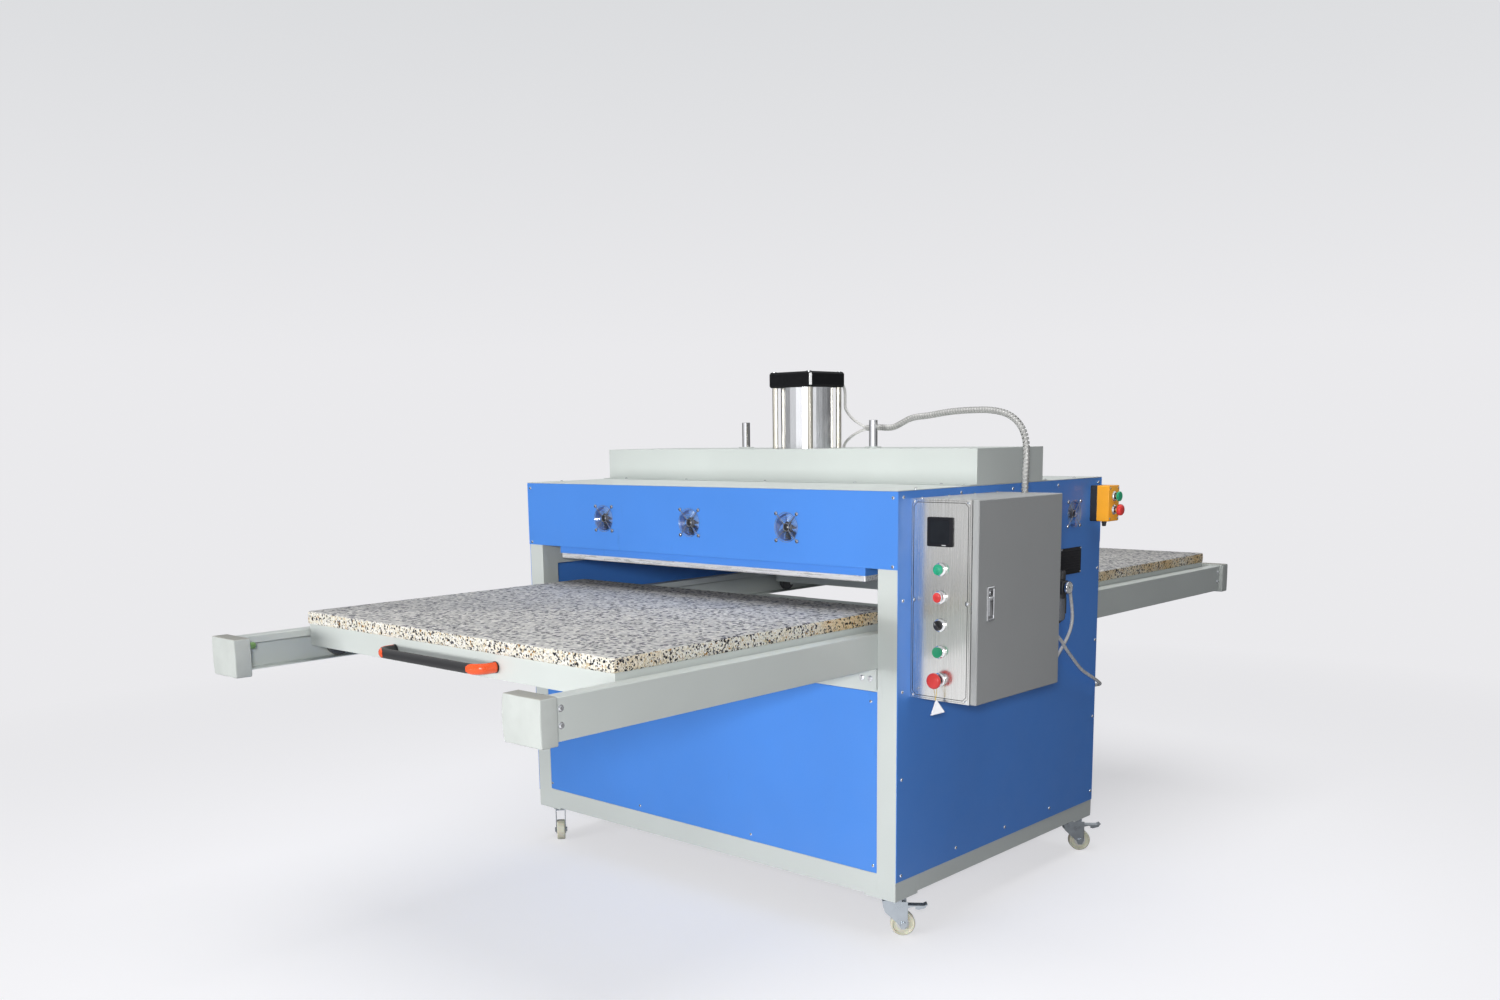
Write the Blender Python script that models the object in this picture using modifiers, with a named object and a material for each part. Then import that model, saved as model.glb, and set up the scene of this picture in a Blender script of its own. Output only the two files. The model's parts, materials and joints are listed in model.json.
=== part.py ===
"""Pneumatic heat press with two sliding trays, as an assembly of separate pieces.

Metres. +X is the machine's right side, where the control box hangs, +Y runs from
the front tray to the rear tray, +Z is up. The origin is on the floor, under the
middle of the machine's bounding box. The pieces are modelled in the cabinet's own
frame (x = 0 in its middle, z = 0 under its frame) and hang from one empty.
"""
import math

import bmesh
import bpy
from mathutils import Matrix, Vector

# Fits
FIT = 0.0003              # gap between two solids that touch
RUN = 0.0005              # running clearance round a moving pin or stem
OVERLAP = 0.001           # how far joined shapes run into each other

# Cabinet
BODY_W = 1.440            # over the side panels
BODY_D = 1.048            # over the head panels
BODY_H = 1.058            # underside of the frame to the top of the top plate
SHEET = 0.002             # panel sheet
TUBE = 0.060              # square frame tube
TUBE_WALL = 0.003
WELD_STEP = 0.0004        # bars lie this far inside the posts' faces
FOOT_PLATE = 0.100        # square plate that carries a caster
FOOT_PLATE_T = 0.006
SIDE_PANEL_Z = 0.053      # lower edge of the side panels
CROSS_DROP = 0.451        # cabinet's top down to the cross bars that carry the rails
UPPER_BAR_DROP = 0.198    # cabinet's top down to the bars that carry the head beam
HEAD_H = 0.196            # height of the head panels
FLANGE = 0.022            # folded edge of a panel

# Cooling fans
FAN = 0.080               # square fan housing
FAN_BORE = 0.074
FAN_DEPTH = 0.025
FAN_SPIDER = 0.004        # thickness of the arms behind the rotor
FAN_ARM = 0.003           # half width of an arm
FAN_PITCH = 0.360         # between the three front fans
SIDE_FAN_IN = 0.168       # side fan's middle, in from the rear
FAN_HUB_R = 0.017
FAN_BLADE_W = 0.018
FAN_BLADE_T = 0.0014
FAN_TIP_GAP = 0.003
FAN_BLADES = 7
FAN_BLADE_PITCH = 38      # degrees

# Head: beam, cover, cylinder
BEAM_W = 0.160            # front to back
BEAM_H = 0.158
BEAM_WALL = 0.010
BEAM_FOOT = 0.030         # overlap of the beam's foot with the beam
COVER_D = 0.340           # beam cover, front to back
COVER_H = 0.096
COVER_FOOT = 0.030        # flange by which the cover is screwed down
CYL_CAP = 0.168           # square cylinder caps
CYL_CAP_T = 0.046
CYL_BASE_T = 0.050
CYL_TOP_RISE = 0.325      # cabinet's top up to the cylinder's
CYL_BORE_R = 0.0745
CYL_WALL = 0.0055
CYL_CHAMFER = 0.006
TIE_ROD_R = 0.0085
TIE_ROD_AT = 0.069
GUIDE_X = 0.253           # guide rods, each side of the cylinder
GUIDE_R = 0.0125
GUIDE_RISE = 0.178        # cabinet's top up to the guide rods' ends
BUSH_R = 0.024
BUSH_RISE = 0.004         # bush's end over the cover
PISTON_ROD_R = 0.020
PISTON_T = 0.030
PISTON_DROP = 0.058       # cylinder's top down to the piston's, platen raised

# Heated platen
PLATEN_SIDE = 0.120       # platen's edge, in from the cabinet's side
PLATEN_FRONT = 0.027      # and from its front
PLATEN_DROP = 0.236       # cabinet's top down to the platen's face, raised
PLATEN_T = 0.026
PLATEN_INSET = 0.003      # platen's edge inside the shield's
BOSS_IN = 0.080           # corner bosses that carry the shield, in from its edges
BOSS_R = 0.030
SHIELD_UP = 0.016         # shield's lower edge over the platen's face
SHIELD_H = 0.040
SHIELD_WALL = 0.002
ROD_FLANGE_R = 0.036
ROD_FLANGE_T = 0.010

# Rails
RAIL_W = 0.040
RAIL_H = 0.090
RAIL_WALL = 0.003
RAIL_LIP = 0.020
RAIL_OUT = 1.075          # rail's end, out from the cabinet's front
CAP_W = 0.122             # moulded cap on each rail's end
CAP_H = 0.100
CAP_D = 0.045
CAP_SLEEVE = 0.022        # how far the cap slides over the rail
CAP_PROUD = 0.012         # how far the cap stands out beside the rail
CAP_ROUND = 0.005
BUMPER_R = 0.009
BUMPER_L = 0.032
BUMPER_IN = 0.0674        # bumper's axis, in from the rail's outer face
BUMPER_UP = 0.069         # and up from the rail's underside
BRACKET_W = 0.215         # plate on the cross bar, under the end of a rail
BRACKET_H = 0.055
BRACKET_T = 0.005

# Trays
PAD_SIDE = 0.107          # pad's edge, in from the cabinet's side
PAD_D = 0.987
PAD_T = 0.034
PAD_DROP = 0.312          # cabinet's top down to the pads
FRONT_PAD_OUT = 0.854     # front pad's outer edge, out from the cabinet, as it stands
REAR_PAD_OUT = 1.011      # rear pad's outer edge, nearly at its stop
TRAY_SIDE = 0.110
TRAY_H = 0.059
TRAY_SET_BACK = 0.006     # pad over the tray's outer and inner edges
TRAY_PLATE = 0.004
TRAY_WALL = 0.003
WHEEL_R = 0.034           # tray wheels
WHEEL_W = 0.016
WHEEL_GAP = 0.003         # wheel's side to the rail's web
WHEEL_END = 0.100         # last wheel, in from the tray's end
WHEEL_AXLE_R = 0.006
LUG_T = 0.006
LUG_W = 0.040
LUG_LAP = 0.020
LUG_DROP = 0.012
WHEELS_PER_SIDE = 3
HANDLE_W = 0.433          # over the handle's ends
HANDLE_R = 0.0125
HANDLE_OUT = 0.050        # tray face to the middle of the bar
HANDLE_DROP = 0.0307      # tray's top down to the bar
HANDLE_BEND = 0.030

# Control box on the right side
BOX_FRONT = 0.059         # box's front, in from the cabinet's
BOX_REAR = 0.589          # box's rear, in from the cabinet's
BOX_TOP_DROP = 0.021      # cabinet's top down to the box's
BOX_H = 0.502
BOX_DEPTH = 0.1755        # out from the side panel
BOX_SHEET = 0.002
DOOR_DEPTH = 0.0185
DOOR_ROUND = 0.002
PLATE_T = 0.002           # stainless control plate
HINGE_R = 0.005
KNUCKLE = 0.060           # length of each door hinge
LATCH_W = 0.032
LATCH_H = 0.087
LATCH_DROP = 0.2555       # box's top down to the latch's middle
LATCH_EDGE = 0.042        # door's free edge to the latch
LATCH_PROUD = 0.003
LATCH_T = 0.008
ELEMENT_X = 0.089         # buttons, out from the side panel
LAMP_DROP = 0.172         # each down from the box's top
POWER_DROP = 0.2405
SELECTOR_DROP = 0.3105
START_DROP = 0.3775
STOP_DROP = 0.4475
SCREEN = 0.072
SCREEN_X = 0.087
SCREEN_DROP = 0.080
SCREEN_PROUD = 0.007
SCREEN_DEEP = 0.045
SCREEN_RIM = 0.006
BUTTON_R = 0.011
COLLAR_W = 0.0038
COLLAR_T = 0.005
BUTTON_PROUD = 0.004
BUTTON_STEM = 0.022
BUTTON_FACE = 0.001       # rounded-off edge of a button's face
LENS_RISE = 0.006
GRIP_T = 0.007
GRIP_RISE = 0.010
MUSHROOM_R = 0.020
MUSHROOM_T = 0.012
MUSHROOM_RISE = 0.034
NECK_R = 0.012
CABLE_R = 0.018           # hole from the box into the cabinet
CABLE_IN = 0.100
CABLE_UP = 0.080
MODULE_EDGE = 0.085       # electrics: from the box's front wall to the first module
MODULE_REAR = 0.025
MODULE_GAP = 0.010
MODULE_PLATE = 0.002
MODULE_ROWS = ((0.165, 0.030, 0.035), (0.235, 0.070, 0.065), (0.340, 0.080, 0.055))
MODULE_COUNTS = (1, 4, 2)

# Two-button station at the rear of the right side
STATION_REAR = 0.004      # in from the cabinet's rear
STATION_W = 0.066
STATION_DROP = 0.024      # cabinet's top down to the station's
STATION_H = 0.106
STATION_DEPTH = 0.060
STATION_WALL = 0.003
STATION_START_DROP = 0.032
STATION_STOP_DROP = 0.072
STATION_BUTTON_R = 0.009
STATION_COLLAR_W = 0.004
STATION_CAP = (0.0145, 0.006, 0.020)        # radius, thickness, reach
STATION_MUSHROOM = (0.017, 0.013, 0.029)
STATION_STEM = 0.012

# Compressed air
HOSE_R = 0.005
BUNDLE_R = 0.009
PORT_R = 0.008
PORT_L = 0.010
PORT_X = 0.048            # cylinder's ports, from its axis
PORT_UP = 0.022           # and over its caps' undersides
LOW_HOLE = (0.056, 0.112)                  # in the beam cover, for the lower hose
BOX_HOLE = (0.095, 0.023)                  # in the box's top: out from the side, in from its rear
REG_X = 0.026             # regulator's axis, out from the side panel
REG_REAR = 0.284          # and in from the cabinet's rear
REG_DROP = 0.308          # cabinet's top down to the regulator's middle
REG_BODY = 0.040
REG_BOWL_R = 0.0165
REG_BOWL_L = 0.084
REG_KNOB_R = 0.015
REG_KNOB_L = 0.029
INLET_IN = 0.120          # air inlet, in from the right side
INLET_DROP = 0.227        # and down from the cross bars
INLET_OUT = 0.020
INLET_ARM = 0.014         # its elbow, from the nipple to the hose

# Casters
CASTER_H = 0.110
CASTER_IN = 0.048         # swivel axis, in from the cabinet's faces
CASTER_TRAIL = 0.030
CASTER_WHEEL_R = 0.0325
CASTER_WHEEL_W = 0.026
CASTER_AXLE_R = 0.004
FORK_T = 0.0025
RACE_R = 0.027
RACE_H = 0.012
PEDAL_REACH = 0.095
PEDAL_W = 0.024
PEDAL_PIN = (0.036, 0.018)                 # from the swivel axis, and under the race
BRAKED_HEADING = 43       # degrees from +X, as the photograph shows them
PLAIN_HEADING = -40

# Derived sizes
HALF_W = BODY_W / 2
HALF_D = BODY_D / 2
FRAME_X = HALF_W - SHEET - FIT
FRAME_Y = HALF_D - SHEET - FIT
FRAME_TOP = BODY_H - SHEET - FIT
FAN_Z = FRAME_TOP - TUBE - FAN / 2 - FIT
SIDE_FAN_Y = HALF_D - SIDE_FAN_IN
BASE_Z = FOOT_PLATE_T
BASE_TOP = BASE_Z + TUBE
CROSS_TOP = BODY_H - CROSS_DROP
UPPER_BAR_TOP = BODY_H - UPPER_BAR_DROP
POST_IN_X = FRAME_X - TUBE
POST_IN_Y = FRAME_Y - TUBE
BEAM_TOP = FRAME_TOP
BEAM_Z = BEAM_TOP - BEAM_H
COVER_Z = BODY_H + FIT
COVER_TOP = COVER_Z + COVER_H
BASE_CAP_Z = BEAM_TOP + FIT
BASE_CAP_TOP = BASE_CAP_Z + CYL_BASE_T
CYL_TOP = BODY_H + CYL_TOP_RISE
CAP_BOTTOM = CYL_TOP - CYL_CAP_T
PISTON_TOP = CYL_TOP - PISTON_DROP
GUIDE_TOP = BODY_H + GUIDE_RISE
PLATEN_X = HALF_W - PLATEN_SIDE
PLATEN_Y = HALF_D - PLATEN_FRONT
PLATEN_Z = BODY_H - PLATEN_DROP
PLATEN_TOP = PLATEN_Z + PLATEN_T
SHIELD_Z = PLATEN_Z + SHIELD_UP
SHIELD_TOP = SHIELD_Z + SHIELD_H
RAIL_Z = CROSS_TOP + FIT
RAIL_X = POST_IN_X - FIT
RAIL_TOP = RAIL_Z + RAIL_H
RAIL_FLOOR = RAIL_Z + RAIL_WALL
RAIL_HALF = HALF_D + RAIL_OUT
PAD_X = HALF_W - PAD_SIDE
PAD_TOP = BODY_H - PAD_DROP
PAD_Z = PAD_TOP - PAD_T
FRONT_PAD_Y = -HALF_D - FRONT_PAD_OUT
REAR_PAD_Y = HALF_D + REAR_PAD_OUT
TRAY_X = HALF_W - TRAY_SIDE
TRAY_TOP = PAD_Z - FIT
TRAY_Z = TRAY_TOP - TRAY_H
TRAY_D = PAD_D - 2 * TRAY_SET_BACK
WHEEL_X = RAIL_X - RAIL_WALL - WHEEL_GAP - WHEEL_W / 2
WHEEL_Z = RAIL_FLOOR + FIT + WHEEL_R
HANDLE_Z = TRAY_TOP - HANDLE_DROP
BOX_X0 = HALF_W + FIT
BOX_X1 = HALF_W + BOX_DEPTH
BOX_Y0 = -HALF_D + BOX_FRONT
BOX_Y1 = HALF_D - BOX_REAR
BOX_Z1 = BODY_H - BOX_TOP_DROP
BOX_Z0 = BOX_Z1 - BOX_H
DOOR_X0 = BOX_X1 + FIT
DOOR_X1 = DOOR_X0 + DOOR_DEPTH
ELEMENT_Y = BOX_Y0 - FIT - PLATE_T
HINGE_Y = BOX_Y1 + HINGE_R + 2 * FIT
STATION_X0 = HALF_W + FIT
STATION_X1 = STATION_X0 + STATION_DEPTH
STATION_Y1 = HALF_D - STATION_REAR
STATION_Y0 = STATION_Y1 - STATION_W
STATION_Z1 = BODY_H - STATION_DROP
STATION_Z0 = STATION_Z1 - STATION_H
REG_Y = HALF_D - REG_REAR
REG_Z = BODY_H - REG_DROP
INLET = (HALF_W - INLET_IN, HALF_D + INLET_OUT, CROSS_TOP - INLET_DROP)
CHEEK_AT = CASTER_WHEEL_W / 2 + RUN        # inner face of each fork cheek
CENTRE_X = -(DOOR_X1 + LATCH_PROUD - HALF_W) / 2

# Hose routes, as offsets from the point named with each
FROM_CYLINDER = ((0.178, 0.072, 0.155), (0.235, 0.052, 0.156), (0.300, 0.036, 0.156))
TO_BOX = ((-0.440, 0.106, 0.180), (-0.365, 0.088, 0.187), (-0.285, 0.069, 0.195), (-0.205, 0.050, 0.198),
          (-0.125, 0.030, 0.196), (-0.065, 0.016, 0.184), (-0.025, 0.007, 0.159), (-0.003, 0.002, 0.123),
          (0.003, 0.0, 0.073), (0.001, 0.0, 0.028), (0.0, 0.0, -0.033))
UPPER_HOSE = ((0.001, 0.014, -0.004), (0.004, 0.027, -0.029), (0.005, 0.028, -0.059), (0.012, 0.022, -0.087),
              (0.050, 0.004, -0.115), (0.102, -0.014, -0.138), (0.134, -0.023, -0.146))
LOWER_HOSE = ((0.002, 0.014, 0.004), (0.006, 0.019, 0.020), (0.008, 0.018, 0.042), (0.009, 0.017, 0.080),
              (0.040, 0.005, 0.105), (0.092, -0.011, 0.125), (0.134, -0.023, 0.135))
FROM_REGULATOR = ((0.0, 0.056, -0.014), (-0.001, 0.072, -0.060), (-0.001, 0.078, -0.100),
                  (-0.002, 0.066, -0.138), (-0.004, 0.032, -0.176), (-0.005, -0.015, -0.212),
                  (-0.004, -0.068, -0.228), (-0.001, -0.116, -0.210), (0.004, -0.136, -0.168),
                  (0.008, -0.116, -0.128), (0.011, -0.070, -0.118), (0.012, -0.018, -0.146),
                  (0.011, 0.022, -0.180), (0.006, 0.068, -0.212), (-0.001, 0.145, -0.262))
TO_INLET = ((0.144, -0.089, 0.075), (0.140, -0.039, 0.052), (0.127, -0.006, 0.039), (0.103, 0.0055, 0.031),
            (0.072, 0.005, 0.023), (0.040, 0.0015, 0.012), (0.015, 0.0, 0.002), (0.005, 0.0, 0.0))

COLOURS = {
    "grey_paint": ((0.66, 0.70, 0.68), 0.40, 0.0),
    "blue_paint": ((0.11, 0.32, 0.87), 0.38, 0.0),
    "grey_box": ((0.45, 0.46, 0.46), 0.45, 0.0),
    "platen_metal": ((0.80, 0.80, 0.80), 0.30, 1.0),
    "steel": ((0.62, 0.62, 0.62), 0.30, 1.0),
    "chrome": ((0.85, 0.85, 0.86), 0.10, 1.0),
    "zinc": ((0.55, 0.58, 0.60), 0.35, 1.0),
    "stainless": ((0.50, 0.50, 0.49), 0.32, 1.0),
    "aluminium": ((0.80, 0.81, 0.82), 0.22, 1.0),
    "black_cap": ((0.02, 0.02, 0.02), 0.45, 0.0),
    "black_plastic": ((0.03, 0.03, 0.035), 0.50, 0.0),
    "pad": ((0.42, 0.41, 0.43), 0.95, 0.0),
    "nylon": ((0.86, 0.84, 0.72), 0.40, 0.0),
    "hose": ((0.55, 0.55, 0.53), 0.30, 0.0),
    "red": ((0.75, 0.03, 0.03), 0.35, 0.0),
    "green": ((0.0, 0.38, 0.13), 0.35, 0.0),
    "orange": ((0.93, 0.42, 0.03), 0.45, 0.0),
    "electrics": ((0.25, 0.27, 0.28), 0.50, 0.0),
}


def clear_scene():
    """Removes whatever the scene holds."""
    for obj in list(bpy.data.objects):
        bpy.data.objects.remove(obj, do_unlink=True)


def make_collection(name):
    collection = bpy.data.collections.new(name)
    bpy.context.scene.collection.children.link(collection)
    return collection


def make_material(name):
    """A Principled material of the named colour, made once."""
    if name in bpy.data.materials:
        return bpy.data.materials[name]
    colour, roughness, metallic = COLOURS[name]
    material = bpy.data.materials.new(name)
    material.use_nodes = True
    shader = material.node_tree.nodes["Principled BSDF"]
    shader.inputs["Base Color"].default_value = (*colour, 1.0)
    shader.inputs["Roughness"].default_value = roughness
    shader.inputs["Metallic"].default_value = metallic
    return material


def place(obj, name, material):
    """Names an object, gives it its finish and puts it with the parts."""
    obj.name = name
    obj.data.name = name
    obj.data.materials.clear()
    obj.data.materials.append(make_material(material))
    PARTS.objects.link(obj)
    obj.parent = MACHINE
    return obj


def mesh_object(build):
    """A loose object whose mesh the given function builds in a bmesh."""
    mesh = bpy.data.meshes.new("shape")
    shape = bmesh.new()
    build(shape)
    shape.to_mesh(mesh)
    shape.free()
    return bpy.data.objects.new("shape", mesh)


def box(x, y, z):
    """A box from its (low, high) extents on each axis."""
    size = Vector((x[1] - x[0], y[1] - y[0], z[1] - z[0]))
    middle = Vector((x[0] + x[1], y[0] + y[1], z[0] + z[1])) / 2

    def build(shape):
        matrix = Matrix.Translation(middle) @ Matrix.Diagonal((*size, 1.0))
        bmesh.ops.create_cube(shape, size=1.0, matrix=matrix)
    return mesh_object(build)


AXIS_TURN = {
    "X": Matrix.Rotation(math.pi / 2, 4, "Y"),
    "Y": Matrix.Rotation(-math.pi / 2, 4, "X"),
    "Z": Matrix.Identity(4),
}
STAND = Matrix.Rotation(math.pi / 2, 4, "X")        # turns an outline's plane upright


def rod(radius, start, length, axis="Z", sides=16, tip_radius=None):
    """A round bar from its start point along an axis, shaded smooth."""
    tip = radius if tip_radius is None else tip_radius
    turn = AXIS_TURN[axis]

    def build(shape):
        shift = Matrix.Translation(Vector(start)) @ turn @ Matrix.Translation((0, 0, length / 2))
        bmesh.ops.create_cone(shape, cap_ends=True, segments=sides, radius1=radius, radius2=tip,
                              depth=length, matrix=shift)
    obj = mesh_object(build)
    smooth(obj)
    return obj


def turned(profile, steps=16):
    """A solid of revolution about Z from (radius, height) points, top to bottom."""
    def build(shape):
        points = [shape.verts.new((radius, 0.0, height)) for radius, height in profile]
        for first, second in zip(points, points[1:]):
            shape.edges.new((first, second))
    obj = mesh_object(build)
    screw = obj.modifiers.new("turn", "SCREW")
    screw.axis = "Z"
    screw.steps = steps
    screw.render_steps = steps
    screw.use_merge_vertices = True
    screw.merge_threshold = 0.00001
    screw.use_normal_calculate = True
    return bake(obj)


def outline(points, thickness, matrix=None):
    """A flat closed outline in XY, thickened evenly about z = 0, then moved by a matrix."""
    curve = bpy.data.curves.new("outline", "CURVE")
    curve.dimensions = "2D"
    curve.fill_mode = "BOTH"
    curve.extrude = thickness / 2
    spline = curve.splines.new("POLY")
    spline.points.add(len(points) - 1)
    for target, (x, y) in zip(spline.points, points):
        target.co = (x, y, 0.0, 1.0)
    spline.use_cyclic_u = True
    obj = bake(bpy.data.objects.new("outline", curve))
    if matrix is not None:
        obj.data.transform(matrix)
    return obj


def tube(points, radius, resolution=2):
    """A round tube along points, closed at both ends."""
    curve = bpy.data.curves.new("tube", "CURVE")
    curve.dimensions = "3D"
    curve.bevel_depth = radius
    curve.bevel_resolution = resolution
    curve.use_fill_caps = True
    spline = curve.splines.new("POLY")
    spline.points.add(len(points) - 1)
    for target, point in zip(spline.points, points):
        target.co = (*point, 1.0)
    obj = bake(bpy.data.objects.new("tube", curve))
    smooth(obj)
    return obj


def bake(obj):
    """The object's evaluated shape as a plain welded mesh; the old object goes."""
    bpy.context.scene.collection.objects.link(obj)
    bpy.context.view_layer.update()
    graph = bpy.context.evaluated_depsgraph_get()
    mesh = bpy.data.meshes.new_from_object(obj.evaluated_get(graph))
    shape = bmesh.new()
    shape.from_mesh(mesh)
    bmesh.ops.remove_doubles(shape, verts=shape.verts, dist=0.00001)
    bmesh.ops.recalc_face_normals(shape, faces=shape.faces)
    shape.to_mesh(mesh)
    shape.free()
    bpy.data.objects.remove(obj, do_unlink=True)
    return bpy.data.objects.new("shape", mesh)


def smooth(obj):
    obj.data.shade_smooth()
    obj.data.set_sharp_from_angle(angle=math.radians(35))


def combine(obj, others, operation):
    """Booleans a list of shapes onto an object in one exact step; the shapes go."""
    if not others:
        return obj
    group = bpy.data.collections.new("group")
    for other in others:
        group.objects.link(other)
    bpy.context.scene.collection.children.link(group)
    boolean = obj.modifiers.new("combine", "BOOLEAN")
    boolean.operation = operation
    boolean.solver = "EXACT"
    boolean.use_self = True
    boolean.operand_type = "COLLECTION"
    boolean.collection = group
    result = bake(obj)
    for other in others:
        bpy.data.objects.remove(other, do_unlink=True)
    bpy.data.collections.remove(group)
    return result


def join(first, *others):
    return combine(first, list(others), "UNION")


def cut(obj, *cutters):
    return combine(obj, list(cutters), "DIFFERENCE")


def round_edges(obj, width, segments=2, angle=40):
    """A bevel on the edges sharper than an angle, applied."""
    bevel = obj.modifiers.new("round", "BEVEL")
    bevel.width = width
    bevel.segments = segments
    bevel.limit_method = "ANGLE"
    bevel.angle_limit = math.radians(angle)
    return bake(obj)


def mirrored(obj, x=1, y=1):
    """The shape turned over in X or Y, with its faces still pointing out."""
    obj.data.transform(Matrix.Diagonal((x, y, 1.0, 1.0)))
    if x * y < 0:
        obj.data.flip_normals()
    return obj


def copy_of(obj):
    return bpy.data.objects.new("shape", obj.data.copy())


def pivot(name, point, turn=0.0, parent=None):
    """An empty on a joint's axis, in the cabinet's frame."""
    empty = bpy.data.objects.new(name, None)
    empty.empty_display_size = 0.05
    PARTS.objects.link(empty)
    empty.parent = parent or MACHINE
    empty.location = point
    empty.rotation_euler = (0.0, 0.0, turn)
    return empty


def hang(obj, empty, point):
    """Gives a part its origin at a point of the cabinet's frame, under an empty there."""
    obj.data.transform(Matrix.Translation(-Vector(point)))
    obj.parent = empty
    return obj


def smooth_route(points, per_span=2):
    """Points on a smooth curve through the route's own points."""
    ends = [Vector(points[0]) * 2 - Vector(points[1])]
    ends += [Vector(point) for point in points]
    ends.append(Vector(points[-1]) * 2 - Vector(points[-2]))
    route = []
    for index in range(1, len(ends) - 2):
        before, start, stop, after = ends[index - 1:index + 3]
        for step in range(per_span):
            t = step / per_span
            route.append(0.5 * (2 * start + (stop - before) * t
                                + (2 * before - 5 * start + 4 * stop - after) * t ** 2
                                + (3 * start - before - 3 * stop + after) * t ** 3))
    route.append(ends[-2])
    return route


def hose_route(points):
    """A smooth route whose first and last stretches stay straight, square to their fittings."""
    return [Vector(points[0])] + smooth_route(points[1:-1]) + [Vector(points[-1])]


def both(value):
    """The extent from minus a value to plus it."""
    return (-value, value)


def base_frame():
    """Welded square tube: posts, four levels of bars, the plates at casters and rails, hollow inside."""
    levels_x = (BASE_Z, CROSS_TOP - TUBE, FRAME_TOP - TUBE)
    levels_y = (BASE_Z, CROSS_TOP - TUBE, UPPER_BAR_TOP - TUBE, FRAME_TOP - TUBE)
    tubes, cores = [], []
    step = WELD_STEP

    def add_bar(across, z, along):
        """A bar with its faces just inside the posts', running into them at both ends."""
        reach = (POST_IN_X if along == "X" else POST_IN_Y) + TUBE_WALL / 2
        wall = TUBE_WALL
        for extent, shapes, inset in ((reach, tubes, step), (reach + TUBE / 2, cores, step + wall)):
            side = (across[0] + inset, across[1] - inset)
            x, y = (both(extent), side) if along == "X" else (side, both(extent))
            shapes.append(box(x, y, (z + inset, z + TUBE - inset)))

    for side in (-1, 1):
        x = sorted((side * FRAME_X, side * POST_IN_X))
        for z in levels_y:
            add_bar(x, z, "Y")
        for end in (-1, 1):
            y = sorted((end * FRAME_Y, end * POST_IN_Y))
            tubes.append(box(x, y, (BASE_Z, FRAME_TOP)))
            inner = [(low + TUBE_WALL, high - TUBE_WALL) for low, high in (x, y)]
            cores.append(box(*inner, (BASE_Z + TUBE_WALL, FRAME_TOP + TUBE)))
            plate_x = sorted((side * (FRAME_X - step), side * (FRAME_X - FOOT_PLATE)))
            plate_y = sorted((end * (FRAME_Y - step), end * (FRAME_Y - FOOT_PLATE)))
            tubes.append(box(plate_x, plate_y, (0.0, BASE_Z + TUBE_WALL / 2)))
    for end in (-1, 1):
        y = sorted((end * FRAME_Y, end * POST_IN_Y))
        for z in levels_x:
            add_bar(y, z, "X")
        y = sorted((end * (FRAME_Y - TUBE_WALL / 2), end * (FRAME_Y + BRACKET_T)))
        for side in (-1, 1):
            x = sorted((side * (RAIL_X - BRACKET_W), side * (RAIL_X - step)))
            tubes.append(box(x, y, (CROSS_TOP - BRACKET_H, CROSS_TOP - step)))
    place(cut(join(*tubes), *cores), "base_frame", "grey_paint")


def lower_panels():
    """Blue sheets set between the posts, front and rear; the rear one carries the air inlet."""
    x = both(POST_IN_X - FIT)
    z = (BASE_TOP + FIT, CROSS_TOP - TUBE - FIT)
    front = box(x, (-FRAME_Y + FIT, -FRAME_Y + FIT + SHEET), z)
    fold = box(both(x[1] - SHEET), (-FRAME_Y + FIT + OVERLAP, -FRAME_Y + FLANGE), (z[0] + FIT, z[0] + SHEET))
    place(join(front, fold), "front_lower_panel", "blue_paint")
    rear = box(x, (FRAME_Y - FIT - SHEET, FRAME_Y - FIT), z)
    start = FRAME_Y - FIT - SHEET / 2
    centre = INLET[0] - INLET_ARM
    nipple = rod(PORT_R, (centre, start, INLET[2]), INLET[1] + PORT_R - start, "Y", 8)
    nut = rod(PORT_R * 1.5, (centre, FRAME_Y - FIT - OVERLAP, INLET[2]), PORT_R, "Y", 6)
    arm = rod(PORT_R - OVERLAP, (centre, INLET[1], INLET[2]), INLET_ARM, "X", 8)
    place(join(rear, nipple, nut, arm), "rear_lower_panel", "blue_paint")


def fan_box(along, depth, across, z):
    """A box given by its extents along a fan's axis, across it and in height."""
    return box(depth, across, z) if along == "X" else box(across, depth, z)


def fan_housing(along, centre, face):
    """The square fan frame behind a panel: its body, bore and the arms behind the rotor."""
    half, bore = FAN / 2, FAN_BORE / 2
    inward = -1 if face > 0 else 1
    depth = sorted((face, face + inward * FAN_DEPTH))
    rear = face + inward * FAN_DEPTH
    arms = sorted((rear - inward * FAN_SPIDER, rear - inward * FIT))
    body = fan_box(along, depth, (centre - half, centre + half), (FAN_Z - half, FAN_Z + half))
    start = depth[0] - FAN_DEPTH
    origin = (start, centre, FAN_Z) if along == "X" else (centre, start, FAN_Z)
    body = cut(body, rod(bore, origin, 3 * FAN_DEPTH, along))
    pieces = []
    for wide, tall in ((bore + OVERLAP, FAN_ARM), (FAN_ARM, bore + OVERLAP)):
        pieces.append(fan_box(along, arms, (centre - wide, centre + wide), (FAN_Z - tall, FAN_Z + tall)))
    return join(body, *pieces)


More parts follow.
